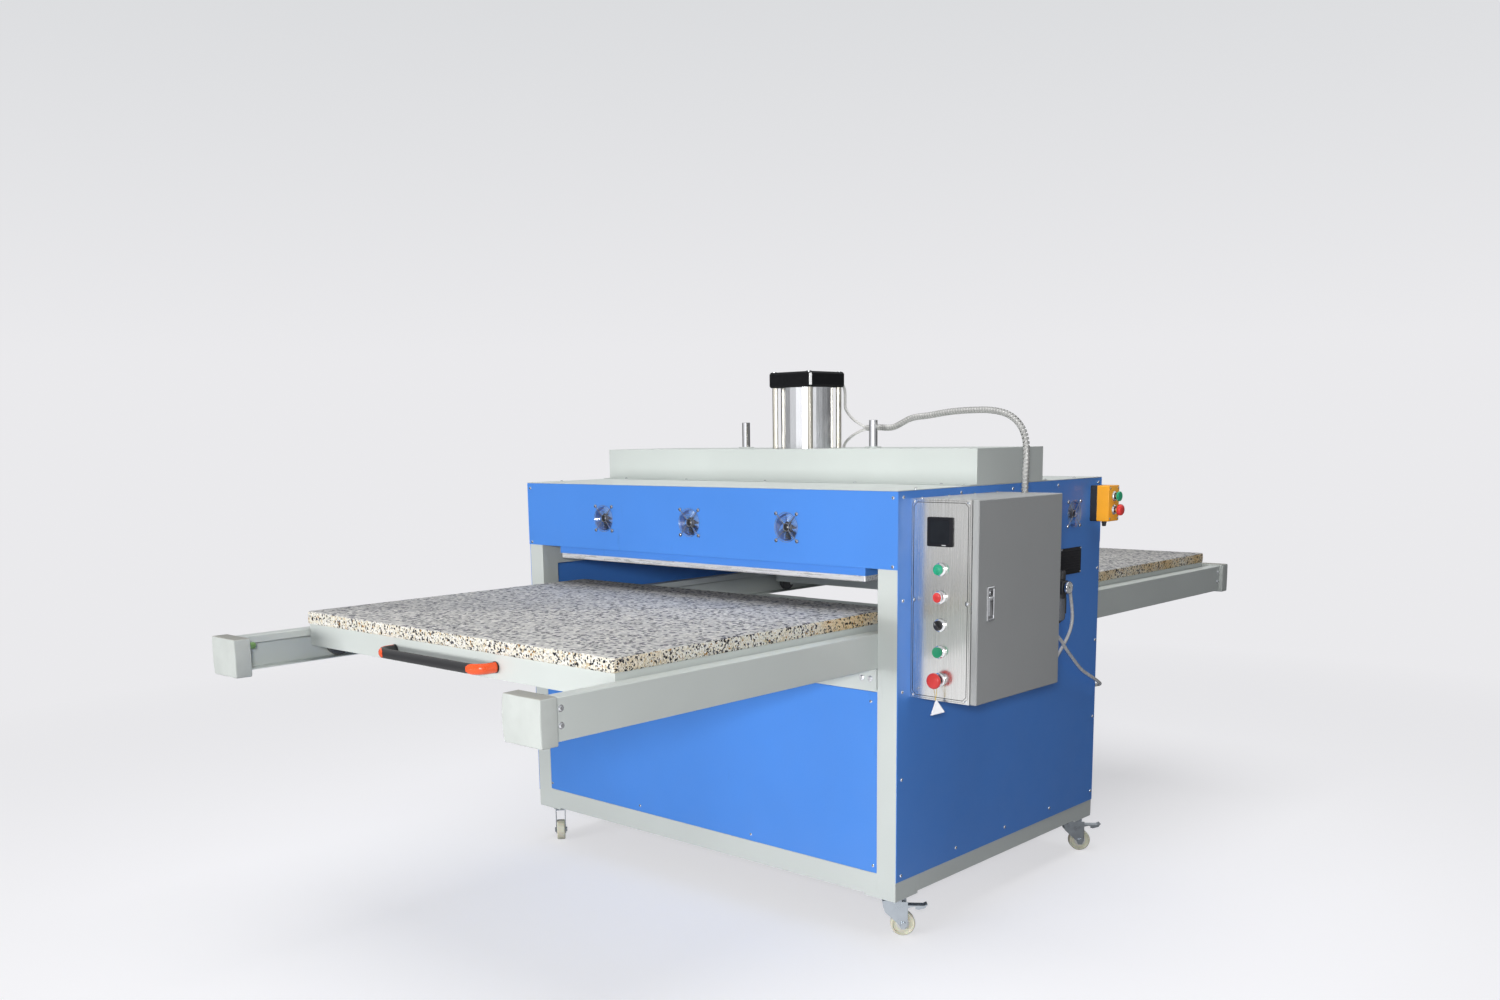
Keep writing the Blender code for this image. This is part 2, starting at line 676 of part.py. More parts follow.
def fan_rotor(name, along, centre, face):
    """The rotor in a housing: a hub with pitched blades, turning in front of the arms."""
    inward = -1 if face > 0 else 1
    depth = FAN_DEPTH - FAN_SPIDER - SHEET - 2 * RUN
    hub = rod(FAN_HUB_R, (0, 0, -depth / 2), depth, sides=12)
    blades = []
    root = FAN_HUB_R - FAN_TIP_GAP
    length = FAN_BORE / 2 - FAN_TIP_GAP - root
    for index in range(FAN_BLADES):
        blade = box(both(length / 2), both(FAN_BLADE_W / 2), both(FAN_BLADE_T / 2))
        turn = Matrix.Rotation(index * math.tau / FAN_BLADES, 4, "Z")
        pitch = Matrix.Rotation(math.radians(FAN_BLADE_PITCH), 4, "X")
        blade.data.transform(turn @ Matrix.Translation((root + length / 2, 0, 0)) @ pitch)
        blades.append(blade)
    rotor = join(hub, *blades)
    middle = face + inward * (SHEET + RUN + depth / 2)
    point = (middle, centre, FAN_Z) if along == "X" else (centre, middle, FAN_Z)
    rotor.data.transform(AXIS_TURN[along])
    smooth(rotor)
    place(rotor, name, "black_plastic")
    rotor.parent = pivot(name + "_axis", point)


def head_panels():
    """Blue head panels; the front one has three fans."""
    x = both(HALF_W)
    z = (BODY_H - HEAD_H, FRAME_TOP)
    front = box(x, (-HALF_D, -HALF_D + SHEET), z)
    face = -HALF_D + SHEET / 2
    holes, housings = [], []
    for index in (-1, 0, 1):
        centre = index * FAN_PITCH
        holes.append(rod(FAN_BORE / 2, (centre, -HALF_D - SHEET, FAN_Z), 3 * SHEET, "Y"))
        housings.append(fan_housing("Y", centre, face))
        fan_rotor(f"front_fan_rotor_{index + 2}", "Y", centre, face)
    place(join(cut(front, *holes), *housings), "front_head_panel", "blue_paint")
    rear = box(x, (HALF_D - SHEET, HALF_D), z)
    place(rear, "rear_head_panel", "blue_paint")


def side_panels():
    """Blue side sheets; the right one has a fan and a hole for the box's cables."""
    y = both(FRAME_Y)
    z = (SIDE_PANEL_Z, FRAME_TOP)
    left = box((-HALF_W, -HALF_W + SHEET), y, z)
    place(left, "left_side_panel", "blue_paint")
    right = box((HALF_W - SHEET, HALF_W), y, z)
    start = HALF_W - 2 * SHEET
    holes = [rod(FAN_BORE / 2, (start, SIDE_FAN_Y, FAN_Z), 3 * SHEET, "X"), cable_cutter()]
    face = HALF_W - SHEET / 2
    place(join(cut(right, *holes), fan_housing("X", SIDE_FAN_Y, face)), "right_side_panel", "blue_paint")
    fan_rotor("side_fan_rotor", "X", SIDE_FAN_Y, face)


def cable_cutter():
    """The hole through the side panel and the control box's back."""
    start = HALF_W - 2 * SHEET
    return rod(CABLE_R, (start, BOX_Y1 - CABLE_IN, BOX_Z0 + CABLE_UP), 3 * SHEET + BOX_SHEET, "X")


def top_plate():
    """Light grey top sheet with an opening under the beam cover."""
    sheet = box(both(HALF_W), both(HALF_D), (BODY_H - SHEET, BODY_H))
    opening = box(both(GUIDE_X + 2 * BUSH_R), both(CYL_CAP / 2 + 2 * PORT_L + 2 * HOSE_R),
                  (BODY_H - 2 * SHEET, BODY_H + SHEET))
    place(cut(sheet, opening), "top_plate", "grey_paint")


def beam_cover():
    """Folded cover over the beam, with feet, and holes for the cylinder, rods and hose."""
    outer = box(both(HALF_W), both(COVER_D / 2), (COVER_Z, COVER_TOP))
    feet = box(both(HALF_W - WELD_STEP), both(COVER_D / 2 + COVER_FOOT), (COVER_Z + FIT, COVER_Z + SHEET))
    inner = box(both(HALF_W - SHEET), both(COVER_D / 2 - SHEET), (COVER_Z - SHEET, COVER_TOP - SHEET))
    reach = 2 * SHEET
    window = CYL_CAP / 2 + SHEET
    holes = [box(both(window), both(window), (COVER_TOP - reach, COVER_TOP + reach)),
             rod(HOSE_R + 2 * SHEET, (*LOW_HOLE, COVER_TOP - reach), 2 * reach)]
    for side in (-1, 1):
        holes.append(rod(BUSH_R + FIT, (side * GUIDE_X, 0, COVER_TOP - reach), 2 * reach))
    place(cut(join(outer, feet), inner, *holes), "beam_cover", "grey_paint")


def head_beam():
    """Box girder across the machine, on the upper side bars, with the guide bushes."""
    ends = POST_IN_X - BRACKET_T
    seat = UPPER_BAR_TOP + FIT
    beam = box(both(ends), both(BEAM_W / 2), (BEAM_Z, BEAM_TOP))
    hollow = box(both(ends + BEAM_WALL), both(BEAM_W / 2 - BEAM_WALL),
                 (BEAM_Z + BEAM_WALL, BEAM_TOP - BEAM_WALL))
    beam = cut(beam, hollow)
    floor = BEAM_Z + BEAM_WALL / 2
    extra = [rod(PISTON_ROD_R + BEAM_WALL, (0, 0, floor), BEAM_H - BEAM_WALL)]
    for side in (-1, 1):
        x = sorted((side * (ends - BEAM_FOOT), side * (FRAME_X - FIT)))
        extra.append(box(x, both(BEAM_W / 2 - WELD_STEP), (seat, floor)))
        extra.append(rod(BUSH_R, (side * GUIDE_X, 0, floor), COVER_TOP + BUSH_RISE - floor))
    beam = join(beam, *extra)
    start = BEAM_Z - BEAM_WALL
    bores = [rod(PISTON_ROD_R + RUN, (0, 0, start), BEAM_TOP + BEAM_WALL - start)]
    for side in (-1, 1):
        bores.append(rod(GUIDE_R + RUN, (side * GUIDE_X, 0, start), COVER_TOP + 2 * BUSH_RISE - start))
    place(cut(beam, *bores), "head_beam", "grey_paint")


def cylinder():
    """The air cylinder: base cap with tie rods and port, barrel, and top cap with port."""
    half = CYL_CAP / 2

    def port(z):
        return rod(PORT_R, (PORT_X, half - OVERLAP, z + PORT_UP), PORT_L + OVERLAP, "Y", 6)
    base = box(both(half), both(half), (BASE_CAP_Z, BASE_CAP_TOP))
    rods = []
    start = BASE_CAP_TOP - OVERLAP
    for x in both(TIE_ROD_AT):
        for y in both(TIE_ROD_AT):
            rods.append(rod(TIE_ROD_R, (x, y, start), CAP_BOTTOM - FIT - start, sides=8))
    base = join(base, port(BASE_CAP_Z), *rods)
    bore = rod(PISTON_ROD_R + RUN, (0, 0, BASE_CAP_Z - OVERLAP), CYL_BASE_T + 2 * OVERLAP)
    place(cut(base, bore), "cylinder_base", "steel")

    z0, z1 = BASE_CAP_TOP + FIT, CAP_BOTTOM - FIT
    barrel = rod(CYL_BORE_R + CYL_WALL, (0, 0, z0), z1 - z0, sides=24)
    barrel = cut(barrel, rod(CYL_BORE_R, (0, 0, z0 - OVERLAP), z1 - z0 + 2 * OVERLAP, sides=24))
    smooth(barrel)
    place(barrel, "cylinder_barrel", "aluminium")

    cap = box(both(half), both(half), (CAP_BOTTOM, CYL_TOP))
    cap = round_edges(cap, CYL_CHAMFER, 1)
    place(join(cap, port(CAP_BOTTOM)), "cylinder_top_cap", "black_cap")


def platen_group():
    """What the cylinder moves: platen, shield, piston rod and guide rods."""
    carrier = pivot("platen_axis", (0, 0, PLATEN_Z))
    x, y = PLATEN_X - PLATEN_INSET, PLATEN_Y - PLATEN_INSET
    platen = round_edges(box(both(x), both(y), (PLATEN_Z, PLATEN_TOP)), 0.002, 1)
    corners = [(side * (x - BOSS_IN), end * (y - BOSS_IN)) for side in (-1, 1) for end in (-1, 1)]
    start = PLATEN_TOP - OVERLAP
    height = SHIELD_TOP - SHIELD_WALL - FIT - start
    bosses = []
    for boss_x, boss_y in corners + [(-GUIDE_X, 0.0), (0.0, 0.0), (GUIDE_X, 0.0)]:
        bosses.append(rod(BOSS_R, (boss_x, boss_y, start), height))
    platen = join(platen, *bosses)
    outer = box(both(PLATEN_X), both(PLATEN_Y), (SHIELD_Z, SHIELD_TOP))
    inner = box(both(PLATEN_X - SHIELD_WALL), both(PLATEN_Y - SHIELD_WALL),
                (SHIELD_Z - SHIELD_WALL, SHIELD_TOP - SHIELD_WALL))
    pieces = [(platen, "platen", "platen_metal"), (cut(outer, inner), "platen_shield", "blue_paint")]

    foot = SHIELD_TOP + FIT
    collar = foot + ROD_FLANGE_T
    crown = CYL_BORE_R - RUN
    piston = PISTON_TOP - PISTON_T
    profile = [(0.0, PISTON_TOP), (crown, PISTON_TOP), (crown, piston), (PISTON_ROD_R, piston),
               (PISTON_ROD_R, collar), (ROD_FLANGE_R, collar), (ROD_FLANGE_R, foot), (0.0, foot)]
    pieces.append((turned(profile, 24), "piston_rod", "chrome"))
    for side, name in ((-1, "guide_rod_left"), (1, "guide_rod_right")):
        profile = [(0.0, GUIDE_TOP), (GUIDE_R - 0.001, GUIDE_TOP), (GUIDE_R, GUIDE_TOP - 0.001),
                   (GUIDE_R, collar), (ROD_FLANGE_R, collar), (ROD_FLANGE_R, foot), (0.0, foot)]
        piece = turned(profile)
        piece.data.transform(Matrix.Translation((side * GUIDE_X, 0, 0)))
        pieces.append((piece, name, "chrome"))
    for piece, name, finish in pieces[2:]:
        smooth(piece)
    for piece, name, finish in pieces:
        hang(place(piece, name, finish), carrier, (0, 0, PLATEN_Z))


def rails():
    """A channel along each side, open inwards, on the cross bars."""
    inner = RAIL_X - RAIL_W
    profile = [(RAIL_X, RAIL_Z), (RAIL_X, RAIL_TOP), (inner, RAIL_TOP), (inner, RAIL_TOP - RAIL_LIP),
               (inner + RAIL_WALL, RAIL_TOP - RAIL_LIP), (inner + RAIL_WALL, RAIL_TOP - RAIL_WALL),
               (RAIL_X - RAIL_WALL, RAIL_TOP - RAIL_WALL), (RAIL_X - RAIL_WALL, RAIL_FLOOR),
               (inner, RAIL_FLOOR), (inner, RAIL_Z)]
    right = outline(profile, 2 * RAIL_HALF, STAND)
    left = mirrored(copy_of(right), x=-1)
    place(right, "rail_right", "grey_paint")
    place(left, "rail_left", "grey_paint")


def rail_end_caps():
    """Moulded caps over the four rail ends, each with a bumper that stops the tray."""
    y0 = RAIL_HALF - CAP_SLEEVE
    x1 = RAIL_X + CAP_PROUD
    z0 = RAIL_Z - (CAP_H - RAIL_H) / 2
    body = round_edges(box((x1 - CAP_W, x1), (y0, y0 + CAP_D), (z0, z0 + CAP_H)), CAP_ROUND, 2)
    pocket = box((RAIL_X - RAIL_W - FIT, RAIL_X + FIT), (y0 - CAP_ROUND, RAIL_HALF + FIT),
                 (RAIL_Z - FIT, RAIL_TOP + FIT))
    tip = (RAIL_X - BUMPER_IN, y0 - BUMPER_L, RAIL_Z + BUMPER_UP)
    bumper = rod(BUMPER_R, tip, BUMPER_L + CAP_ROUND, "Y")
    cap = join(cut(body, pocket), bumper)
    names = {(1, -1): "rail_cap_front_right", (-1, -1): "rail_cap_front_left",
             (1, 1): "rail_cap_rear_right", (-1, 1): "rail_cap_rear_left"}
    for (side, end), name in names.items():
        place(mirrored(copy_of(cap), x=side, y=end), name, "grey_paint")
    bpy.data.objects.remove(cap, do_unlink=True)


def tray(name, outer_y, facing):
    """One tray: pad, welded frame with its wheels, and handle; facing is -1 at the front."""
    inner_y = outer_y - facing * PAD_D
    face_y = outer_y - facing * TRAY_SET_BACK
    back_y = inner_y + facing * TRAY_SET_BACK
    y = sorted((face_y, back_y))
    pad = box(both(PAD_X), sorted((outer_y, inner_y)), (PAD_Z, PAD_TOP))
    frame = box(both(TRAY_X), y, (TRAY_Z, TRAY_TOP))
    hollow = box(both(TRAY_X - TRAY_WALL), (y[0] + TRAY_WALL, y[1] - TRAY_WALL),
                 (TRAY_Z - TRAY_WALL, TRAY_TOP - TRAY_PLATE))
    running = []
    pitch = (TRAY_D - 2 * WHEEL_END) / (WHEELS_PER_SIDE - 1)
    for index in range(WHEELS_PER_SIDE):
        running += tray_wheels(y[0] + WHEEL_END + index * pitch)
    frame = join(cut(frame, hollow), *running)
    handle = tube(handle_route(face_y, facing), HANDLE_R)
    slide = pivot(name + "_axis", (0, outer_y, TRAY_Z))
    for piece, part, finish in ((pad, "pad", "pad"), (frame, "frame", "grey_paint"),
                                (handle, "handle", "black_plastic")):
        hang(place(piece, f"{name}_{part}", finish), slide, (0, outer_y, TRAY_Z))


def tray_wheels(y):
    """The lug, axle and wheel at each side of a tray, at one place along it."""
    shapes = []
    for side in (-1, 1):
        lug = sorted((side * (TRAY_X - LUG_T), side * (TRAY_X - WELD_STEP)))
        axle = sorted((side * (TRAY_X - LUG_T / 2), side * WHEEL_X))
        shapes.append(box(lug, (y - LUG_W / 2, y + LUG_W / 2), (WHEEL_Z - LUG_DROP, TRAY_Z + LUG_LAP)))
        shapes.append(rod(WHEEL_AXLE_R, (axle[0], y, WHEEL_Z), axle[1] - axle[0], "X", 6))
        shapes.append(rod(WHEEL_R, (side * WHEEL_X - WHEEL_W / 2, y, WHEEL_Z), WHEEL_W, "X"))
    return shapes


def handle_route(face_y, facing):
    """The handle's middle line: out from the tray, round a bend, across, and back."""
    out = face_y + facing * HANDLE_OUT
    half = HANDLE_W / 2 - HANDLE_R
    foot = face_y + facing * FIT
    bend = HANDLE_BEND
    route = [(-half, foot, HANDLE_Z)]
    for side, turns in ((-1, (0, 1, 2, 3)), (1, (3, 2, 1, 0))):
        for turn in turns:
            angle = turn * math.pi / 6
            route.append((side * (half - bend + bend * math.cos(angle)),
                          out - facing * bend * (1 - math.sin(angle)), HANDLE_Z))
    route.append((half, foot, HANDLE_Z))
    return route


def control_box():
    """Sheet box on the right side, open to +X under its door."""
    outer = box((BOX_X0, BOX_X1), (BOX_Y0, BOX_Y1), (BOX_Z0, BOX_Z1))
    inner = box((BOX_X0 + BOX_SHEET, BOX_X1 + BOX_SHEET), (BOX_Y0 + BOX_SHEET, BOX_Y1 - BOX_SHEET),
                (BOX_Z0 + BOX_SHEET, BOX_Z1 - BOX_SHEET))
    hose = rod(BUNDLE_R + BOX_SHEET, (*box_hole(), BOX_Z1 - 2 * BOX_SHEET), 3 * BOX_SHEET)
    place(cut(outer, inner, hose, cable_cutter(), *element_cutters()), "control_box", "grey_box")


def box_hole():
    """Where the bundle of hoses goes into the box's top."""
    return HALF_W + BOX_HOLE[0], BOX_Y1 - BOX_HOLE[1]


def electrics():
    """The mounting plate on the box's back, with its rows of modules."""
    x0 = BOX_X0 + BOX_SHEET + FIT
    y0, y1 = BOX_Y0 + MODULE_EDGE, BOX_Y1 - MODULE_REAR
    bottom, top = MODULE_ROWS[0][0], MODULE_ROWS[-1][0] + MODULE_ROWS[-1][1]
    plate = box((x0, x0 + MODULE_PLATE), (y0 - MODULE_GAP, y1 + MODULE_GAP),
                (BOX_Z0 + bottom - MODULE_GAP, BOX_Z0 + top + MODULE_GAP))
    modules = []
    for (low, tall, deep), count in zip(MODULE_ROWS, MODULE_COUNTS):
        width = (y1 - y0 - (count - 1) * MODULE_GAP) / count
        for index in range(count):
            start = y0 + index * (width + MODULE_GAP)
            modules.append(box((x0 + MODULE_PLATE / 2, x0 + deep), (start, start + width),
                               (BOX_Z0 + low, BOX_Z0 + low + tall)))
    place(join(plate, *modules), "electrics", "electrics")


def element_places():
    """Height and hole radius of each element on the control plate."""
    return {"lamp": (BOX_Z1 - LAMP_DROP, BUTTON_R), "power": (BOX_Z1 - POWER_DROP, BUTTON_R),
            "selector": (BOX_Z1 - SELECTOR_DROP, BUTTON_R), "start": (BOX_Z1 - START_DROP, BUTTON_R),
            "stop": (BOX_Z1 - STOP_DROP, NECK_R)}


def element_cutters():
    """Cutters for the holes behind the buttons, through plate and box, and the display's."""
    start = ELEMENT_Y - 2 * COLLAR_T
    length = BOX_Y0 + 2 * BOX_SHEET - start
    cutters = []
    for z, radius in element_places().values():
        cutters.append(rod(radius + RUN, (HALF_W + ELEMENT_X, start, z), length, "Y"))
    half = SCREEN / 2 - SCREEN_RIM + 2 * RUN
    x, z = HALF_W + SCREEN_X, BOX_Z1 - SCREEN_DROP
    cutters.append(box((x - half, x + half), (start, start + length), (z - half, z + half)))
    return cutters


def control_plate():
    """Stainless plate on the box's front, with the button collars and the lamp."""
    plate = box((BOX_X0, BOX_X1), (ELEMENT_Y, BOX_Y0 - FIT), (BOX_Z0, BOX_Z1))
    x = HALF_W + ELEMENT_X
    places = element_places()
    collars = []
    for z, radius in places.values():
        collars.append(rod(radius + COLLAR_W, (x, ELEMENT_Y - COLLAR_T, z), COLLAR_T + PLATE_T / 2, "Y"))
    plate = cut(join(plate, *collars), *element_cutters())
    face = ELEMENT_Y - COLLAR_T - LENS_RISE
    lamp = rod(BUTTON_R + RUN + OVERLAP, (x, face, places["lamp"][0]), LENS_RISE + COLLAR_T, "Y")
    place(join(plate, lamp), "control_plate", "stainless")


def touch_screen():
    """The square display: a face over the plate, and its case behind."""
    x, z = HALF_W + SCREEN_X, BOX_Z1 - SCREEN_DROP
    half = SCREEN / 2
    face = box((x - half, x + half), (ELEMENT_Y - SCREEN_PROUD, ELEMENT_Y - FIT), (z - half, z + half))
    face = round_edges(face, SCREEN_PROUD / 4, 1)
    rear = half - SCREEN_RIM
    depth = (ELEMENT_Y - SCREEN_PROUD / 2, BOX_Y0 + SCREEN_DEEP)
    case = box((x - rear, x + rear), depth, (z - rear, z + rear))
    place(join(face, case), "touch_screen", "black_plastic")


def push_button(name, point, size, stem, axis, finish):
    """A push button: a face in front of its collar and a stem that slides in the hole."""
    cap_r, cap_t, reach, stem_r = size
    out = 1 if axis == "X" else -1
    x, y, z = point

    def along(start, stop, radius):
        low, high = sorted((out * start, out * stop))
        base = (x + low, y, z) if axis == "X" else (x, y + low, z)
        return rod(radius, base, high - low, axis)
    button = join(along(reach - cap_t, reach, cap_r), along(-stem, reach - cap_t / 2, stem_r))
    smooth(button)
    hang(place(button, name, finish), pivot(name + "_axis", point), point)


def box_controls():
    """The moving controls on the plate: two push buttons, the selector and the stop."""
    x = HALF_W + ELEMENT_X
    places = element_places()
    plain = (BUTTON_R - BUTTON_FACE, BUTTON_FACE, COLLAR_T + BUTTON_PROUD, BUTTON_R)
    mushroom = (MUSHROOM_R, MUSHROOM_T, MUSHROOM_RISE, NECK_R)
    for name, key, size, finish in (("power_button", "power", plain, "red"),
                                    ("start_button", "start", plain, "green"),
                                    ("emergency_stop", "stop", mushroom, "red")):
        push_button(name, (x, ELEMENT_Y, places[key][0]), size, BUTTON_STEM, "Y", finish)

    z = places["selector"][0]
    point = (x, ELEMENT_Y, z)
    face = ELEMENT_Y - COLLAR_T - BUTTON_PROUD
    drum = rod(BUTTON_R, (x, face, z), ELEMENT_Y + BUTTON_STEM - face, "Y")
    grip = box((x - GRIP_T / 2, x + GRIP_T / 2), (face - GRIP_RISE, face + OVERLAP),
               (z - BUTTON_R + OVERLAP, z + BUTTON_R - OVERLAP))
    knob = join(drum, round_edges(grip, OVERLAP, 1))
    hang(place(knob, "mode_selector", "black_plastic"), pivot("mode_selector_axis", point), point)


def control_door():
    """The box's door: a shallow pan hinged at its rear edge, with a flush latch."""
    hinge = (DOOR_X0 + HINGE_R + FIT, HINGE_Y, BOX_Z0)
    axis = pivot("control_door_axis", hinge)
    pan = box((DOOR_X0, DOOR_X1), (BOX_Y0, BOX_Y1), (BOX_Z0, BOX_Z1))
    pan = round_edges(pan, DOOR_ROUND, 1)
    inner = box((DOOR_X0 - DOOR_ROUND, DOOR_X1 - BOX_SHEET), (BOX_Y0 + BOX_SHEET, BOX_Y1 - BOX_SHEET),
                (BOX_Z0 + BOX_SHEET, BOX_Z1 - BOX_SHEET))
    middle = BOX_Z1 - LATCH_DROP
    latch_y = (BOX_Y0 + LATCH_EDGE, BOX_Y0 + LATCH_EDGE + LATCH_W)
    latch_z = (middle - LATCH_H / 2, middle + LATCH_H / 2)
    window = box((DOOR_X1 - 2 * BOX_SHEET, DOOR_X1 + BOX_SHEET), (latch_y[0] - FIT, latch_y[1] + FIT),
                 (latch_z[0] - FIT, latch_z[1] + FIT))
    knuckles = []
    for z in (BOX_Z0 + KNUCKLE, BOX_Z1 - 2 * KNUCKLE):
        knuckles.append(rod(HINGE_R, (hinge[0], HINGE_Y, z), KNUCKLE, sides=12))
        knuckles.append(box((DOOR_X0 + FIT, hinge[0]), (BOX_Y1 - OVERLAP, HINGE_Y),
                            (z + WELD_STEP, z + KNUCKLE - WELD_STEP)))
    door = join(cut(pan, inner, window), *knuckles)
    hang(place(door, "control_door", "grey_box"), axis, hinge)

    x1 = DOOR_X1 + LATCH_PROUD
    pin = (x1 - LATCH_T / 2, latch_y[0], latch_z[1] - LATCH_T / 2)
    plate = box((x1 - LATCH_T, x1), latch_y, (latch_z[0], pin[2]))
    latch = join(plate, rod(LATCH_T / 2, pin, LATCH_W, "Y"))
    latch_axis = pivot("door_latch_axis", Vector(pin) - Vector(hinge), parent=axis)
    hang(place(latch, "door_latch", "steel"), latch_axis, pin)


def button_station():
    """Two-button station: a hollow body, its collars and its buttons."""
    y, z = (STATION_Y0, STATION_Y1), (STATION_Z0, STATION_Z1)
    wall = STATION_WALL
    body = box((STATION_X0, STATION_X1), y, z)
    body = round_edges(body, wall, 1)
    inner = box((STATION_X0 + wall, STATION_X1 - wall), (y[0] + wall, y[1] - wall),
                (z[0] + wall, z[1] - wall))
    middle = (STATION_Y0 + STATION_Y1) / 2
    buttons = {"station_start_button": (STATION_Z1 - STATION_START_DROP, STATION_CAP, "green"),
               "station_stop_button": (STATION_Z1 - STATION_STOP_DROP, STATION_MUSHROOM, "red")}
    holes, collars = [], []
    for height, size, finish in buttons.values():
        holes.append(rod(STATION_BUTTON_R + RUN, (STATION_X1 - 2 * wall, middle, height), 4 * wall, "X"))
        collars.append(rod(STATION_BUTTON_R + STATION_COLLAR_W, (STATION_X1 - wall / 2, middle, height),
                           wall / 2 + STATION_COLLAR_W, "X"))
    place(cut(join(body, *collars), inner, *holes), "button_station", "orange")
    for name, (height, size, finish) in buttons.items():
        push_button(name, (STATION_X1, middle, height), (*size, STATION_BUTTON_R), STATION_STEM, "X", finish)


def air_regulator():
    """Filter regulator on the right side: bracket, knob, body, bowl and outlet."""
    x, half = HALF_W + REG_X, REG_BODY / 2
    body = box((x - half, x + half), (REG_Y - half, REG_Y + half), (REG_Z - half, REG_Z + half))
    body = round_edges(body, OVERLAP, 1)
    bracket = box((HALF_W + FIT, x - half + OVERLAP), (REG_Y - half * 0.8, REG_Y + half * 0.8),
                  (REG_Z - 1.5 * half, REG_Z + 2 * half))
    knob = rod(REG_KNOB_R, (x, REG_Y, REG_Z + half - OVERLAP), REG_KNOB_L + OVERLAP)
    bowl = rod(REG_BOWL_R * 0.8, (x, REG_Y, REG_Z - half - REG_BOWL_L), REG_BOWL_L + OVERLAP,
               tip_radius=REG_BOWL_R)
    outlet = rod(PORT_R, (x, REG_Y + half - OVERLAP, REG_Z), PORT_L + OVERLAP, "Y", 6)
    place(join(body, bracket, knob, bowl, outlet), "air_regulator", "black_plastic")


def offsets(origin, points):
    """A route's points, from their offsets to a named place."""
    return [Vector(origin) + Vector(point) for point in points]


def port_hose(cap_z, route):
    """A hose from one of the cylinder's ports, straight at first, then along its route."""
    z = cap_z + PORT_UP
    start = (PORT_X, CYL_CAP / 2 + PORT_L + FIT, z)
    ahead = (start[0], start[1] + HOSE_R, z)
    return tube(hose_route([start, ahead] + offsets(start, route)), HOSE_R, 1)


def hoses():
    """Air hoses, each held at both ends: cylinder to control box, and inlet to regulator."""
    middle = offsets((0, 0, BODY_H), FROM_CYLINDER) + offsets((*box_hole(), BODY_H), TO_BOX)
    bundle = tube(hose_route(middle), BUNDLE_R, 1)
    whole = join(bundle, port_hose(CAP_BOTTOM, UPPER_HOSE), port_hose(BASE_CAP_Z, LOWER_HOSE))
    smooth(whole)
    place(whole, "cylinder_hoses", "hose")

    outlet = (HALF_W + REG_X, REG_Y + REG_BODY / 2 + PORT_L + FIT, REG_Z)
    ahead = (outlet[0], outlet[1] + HOSE_R, REG_Z)
    regulator = (HALF_W + REG_X, REG_Y, REG_Z)
    inlet = (INLET[0] + FIT, INLET[1], INLET[2])
    route = [outlet, ahead] + offsets(regulator, FROM_REGULATOR) + offsets(INLET, TO_INLET) + [inlet]
    place(tube(hose_route(route), HOSE_R, 1), "supply_hose", "hose")


def caster(name, corner_x, corner_y):
    """A swivel caster; those on the right have a brake pedal."""
    braked = corner_x > 0
    point = (corner_x * (HALF_W - CASTER_IN), corner_y * (HALF_D - CASTER_IN), 0.0)
    heading = BRAKED_HEADING if braked else PLAIN_HEADING
    swivel = pivot(name + "_swivel_axis", point, math.radians(heading))
    place(caster_fork(), name + "_fork", "zinc").parent = swivel
    axle = (CASTER_TRAIL, 0, CASTER_WHEEL_R - CASTER_H)
    place(caster_wheel(), name + "_wheel", "nylon").parent = pivot(name + "_wheel_axis", axle, parent=swivel)
    if braked:
        pin = (PEDAL_PIN[0], 0.0, -FIT - RACE_H - PEDAL_PIN[1])
        pedal = place(brake_pedal(), name + "_brake_pedal", "zinc")
        pedal.parent = pivot(name + "_pedal_axis", pin, parent=swivel)


def caster_fork():
    """The race under the foot plate, the crown, two cheeks, and the axle with its nuts."""
    crown_z = -FIT - RACE_H
    axle_z = CASTER_WHEEL_R - CASTER_H
    boss = 3 * CASTER_AXLE_R
    outer = CHEEK_AT + FORK_T
    race = turned([(0.0, -FIT), (RACE_R, -FIT), (RACE_R, -FIT - RACE_H / 3), (RACE_R - RACE_H / 3, crown_z),
                   (0.0, crown_z)], 14)
    crown = box((OVERLAP - RACE_R, RACE_R - OVERLAP), both(outer - WELD_STEP),
                (crown_z - FORK_T, crown_z + OVERLAP))
    cheek = [(-0.9 * RACE_R, crown_z), (CASTER_TRAIL + boss, crown_z - boss / 3),
             (CASTER_TRAIL + boss, crown_z - 2 * boss), (CASTER_TRAIL + boss, axle_z),
             (CASTER_TRAIL + boss / 2, axle_z - boss), (CASTER_TRAIL - boss / 2, axle_z - boss),
             (CASTER_TRAIL - boss, axle_z), (-0.7 * RACE_R, crown_z - 2.5 * boss)]
    pieces = [crown]
    for side in (-1, 1):
        lift = Matrix.Translation((0, side * (CHEEK_AT + FORK_T / 2), 0))
        pieces.append(outline(cheek, FORK_T, lift @ STAND))
        nut = sorted((side * (outer - OVERLAP), side * (outer + CASTER_AXLE_R)))
        pieces.append(rod(2 * CASTER_AXLE_R, (CASTER_TRAIL, nut[0], axle_z), nut[1] - nut[0], "Y", 6))
    pieces.append(rod(CASTER_AXLE_R, (CASTER_TRAIL, -CHEEK_AT - OVERLAP, axle_z), 2 * (CHEEK_AT + OVERLAP),
                      "Y", 10))
    return join(race, *pieces)


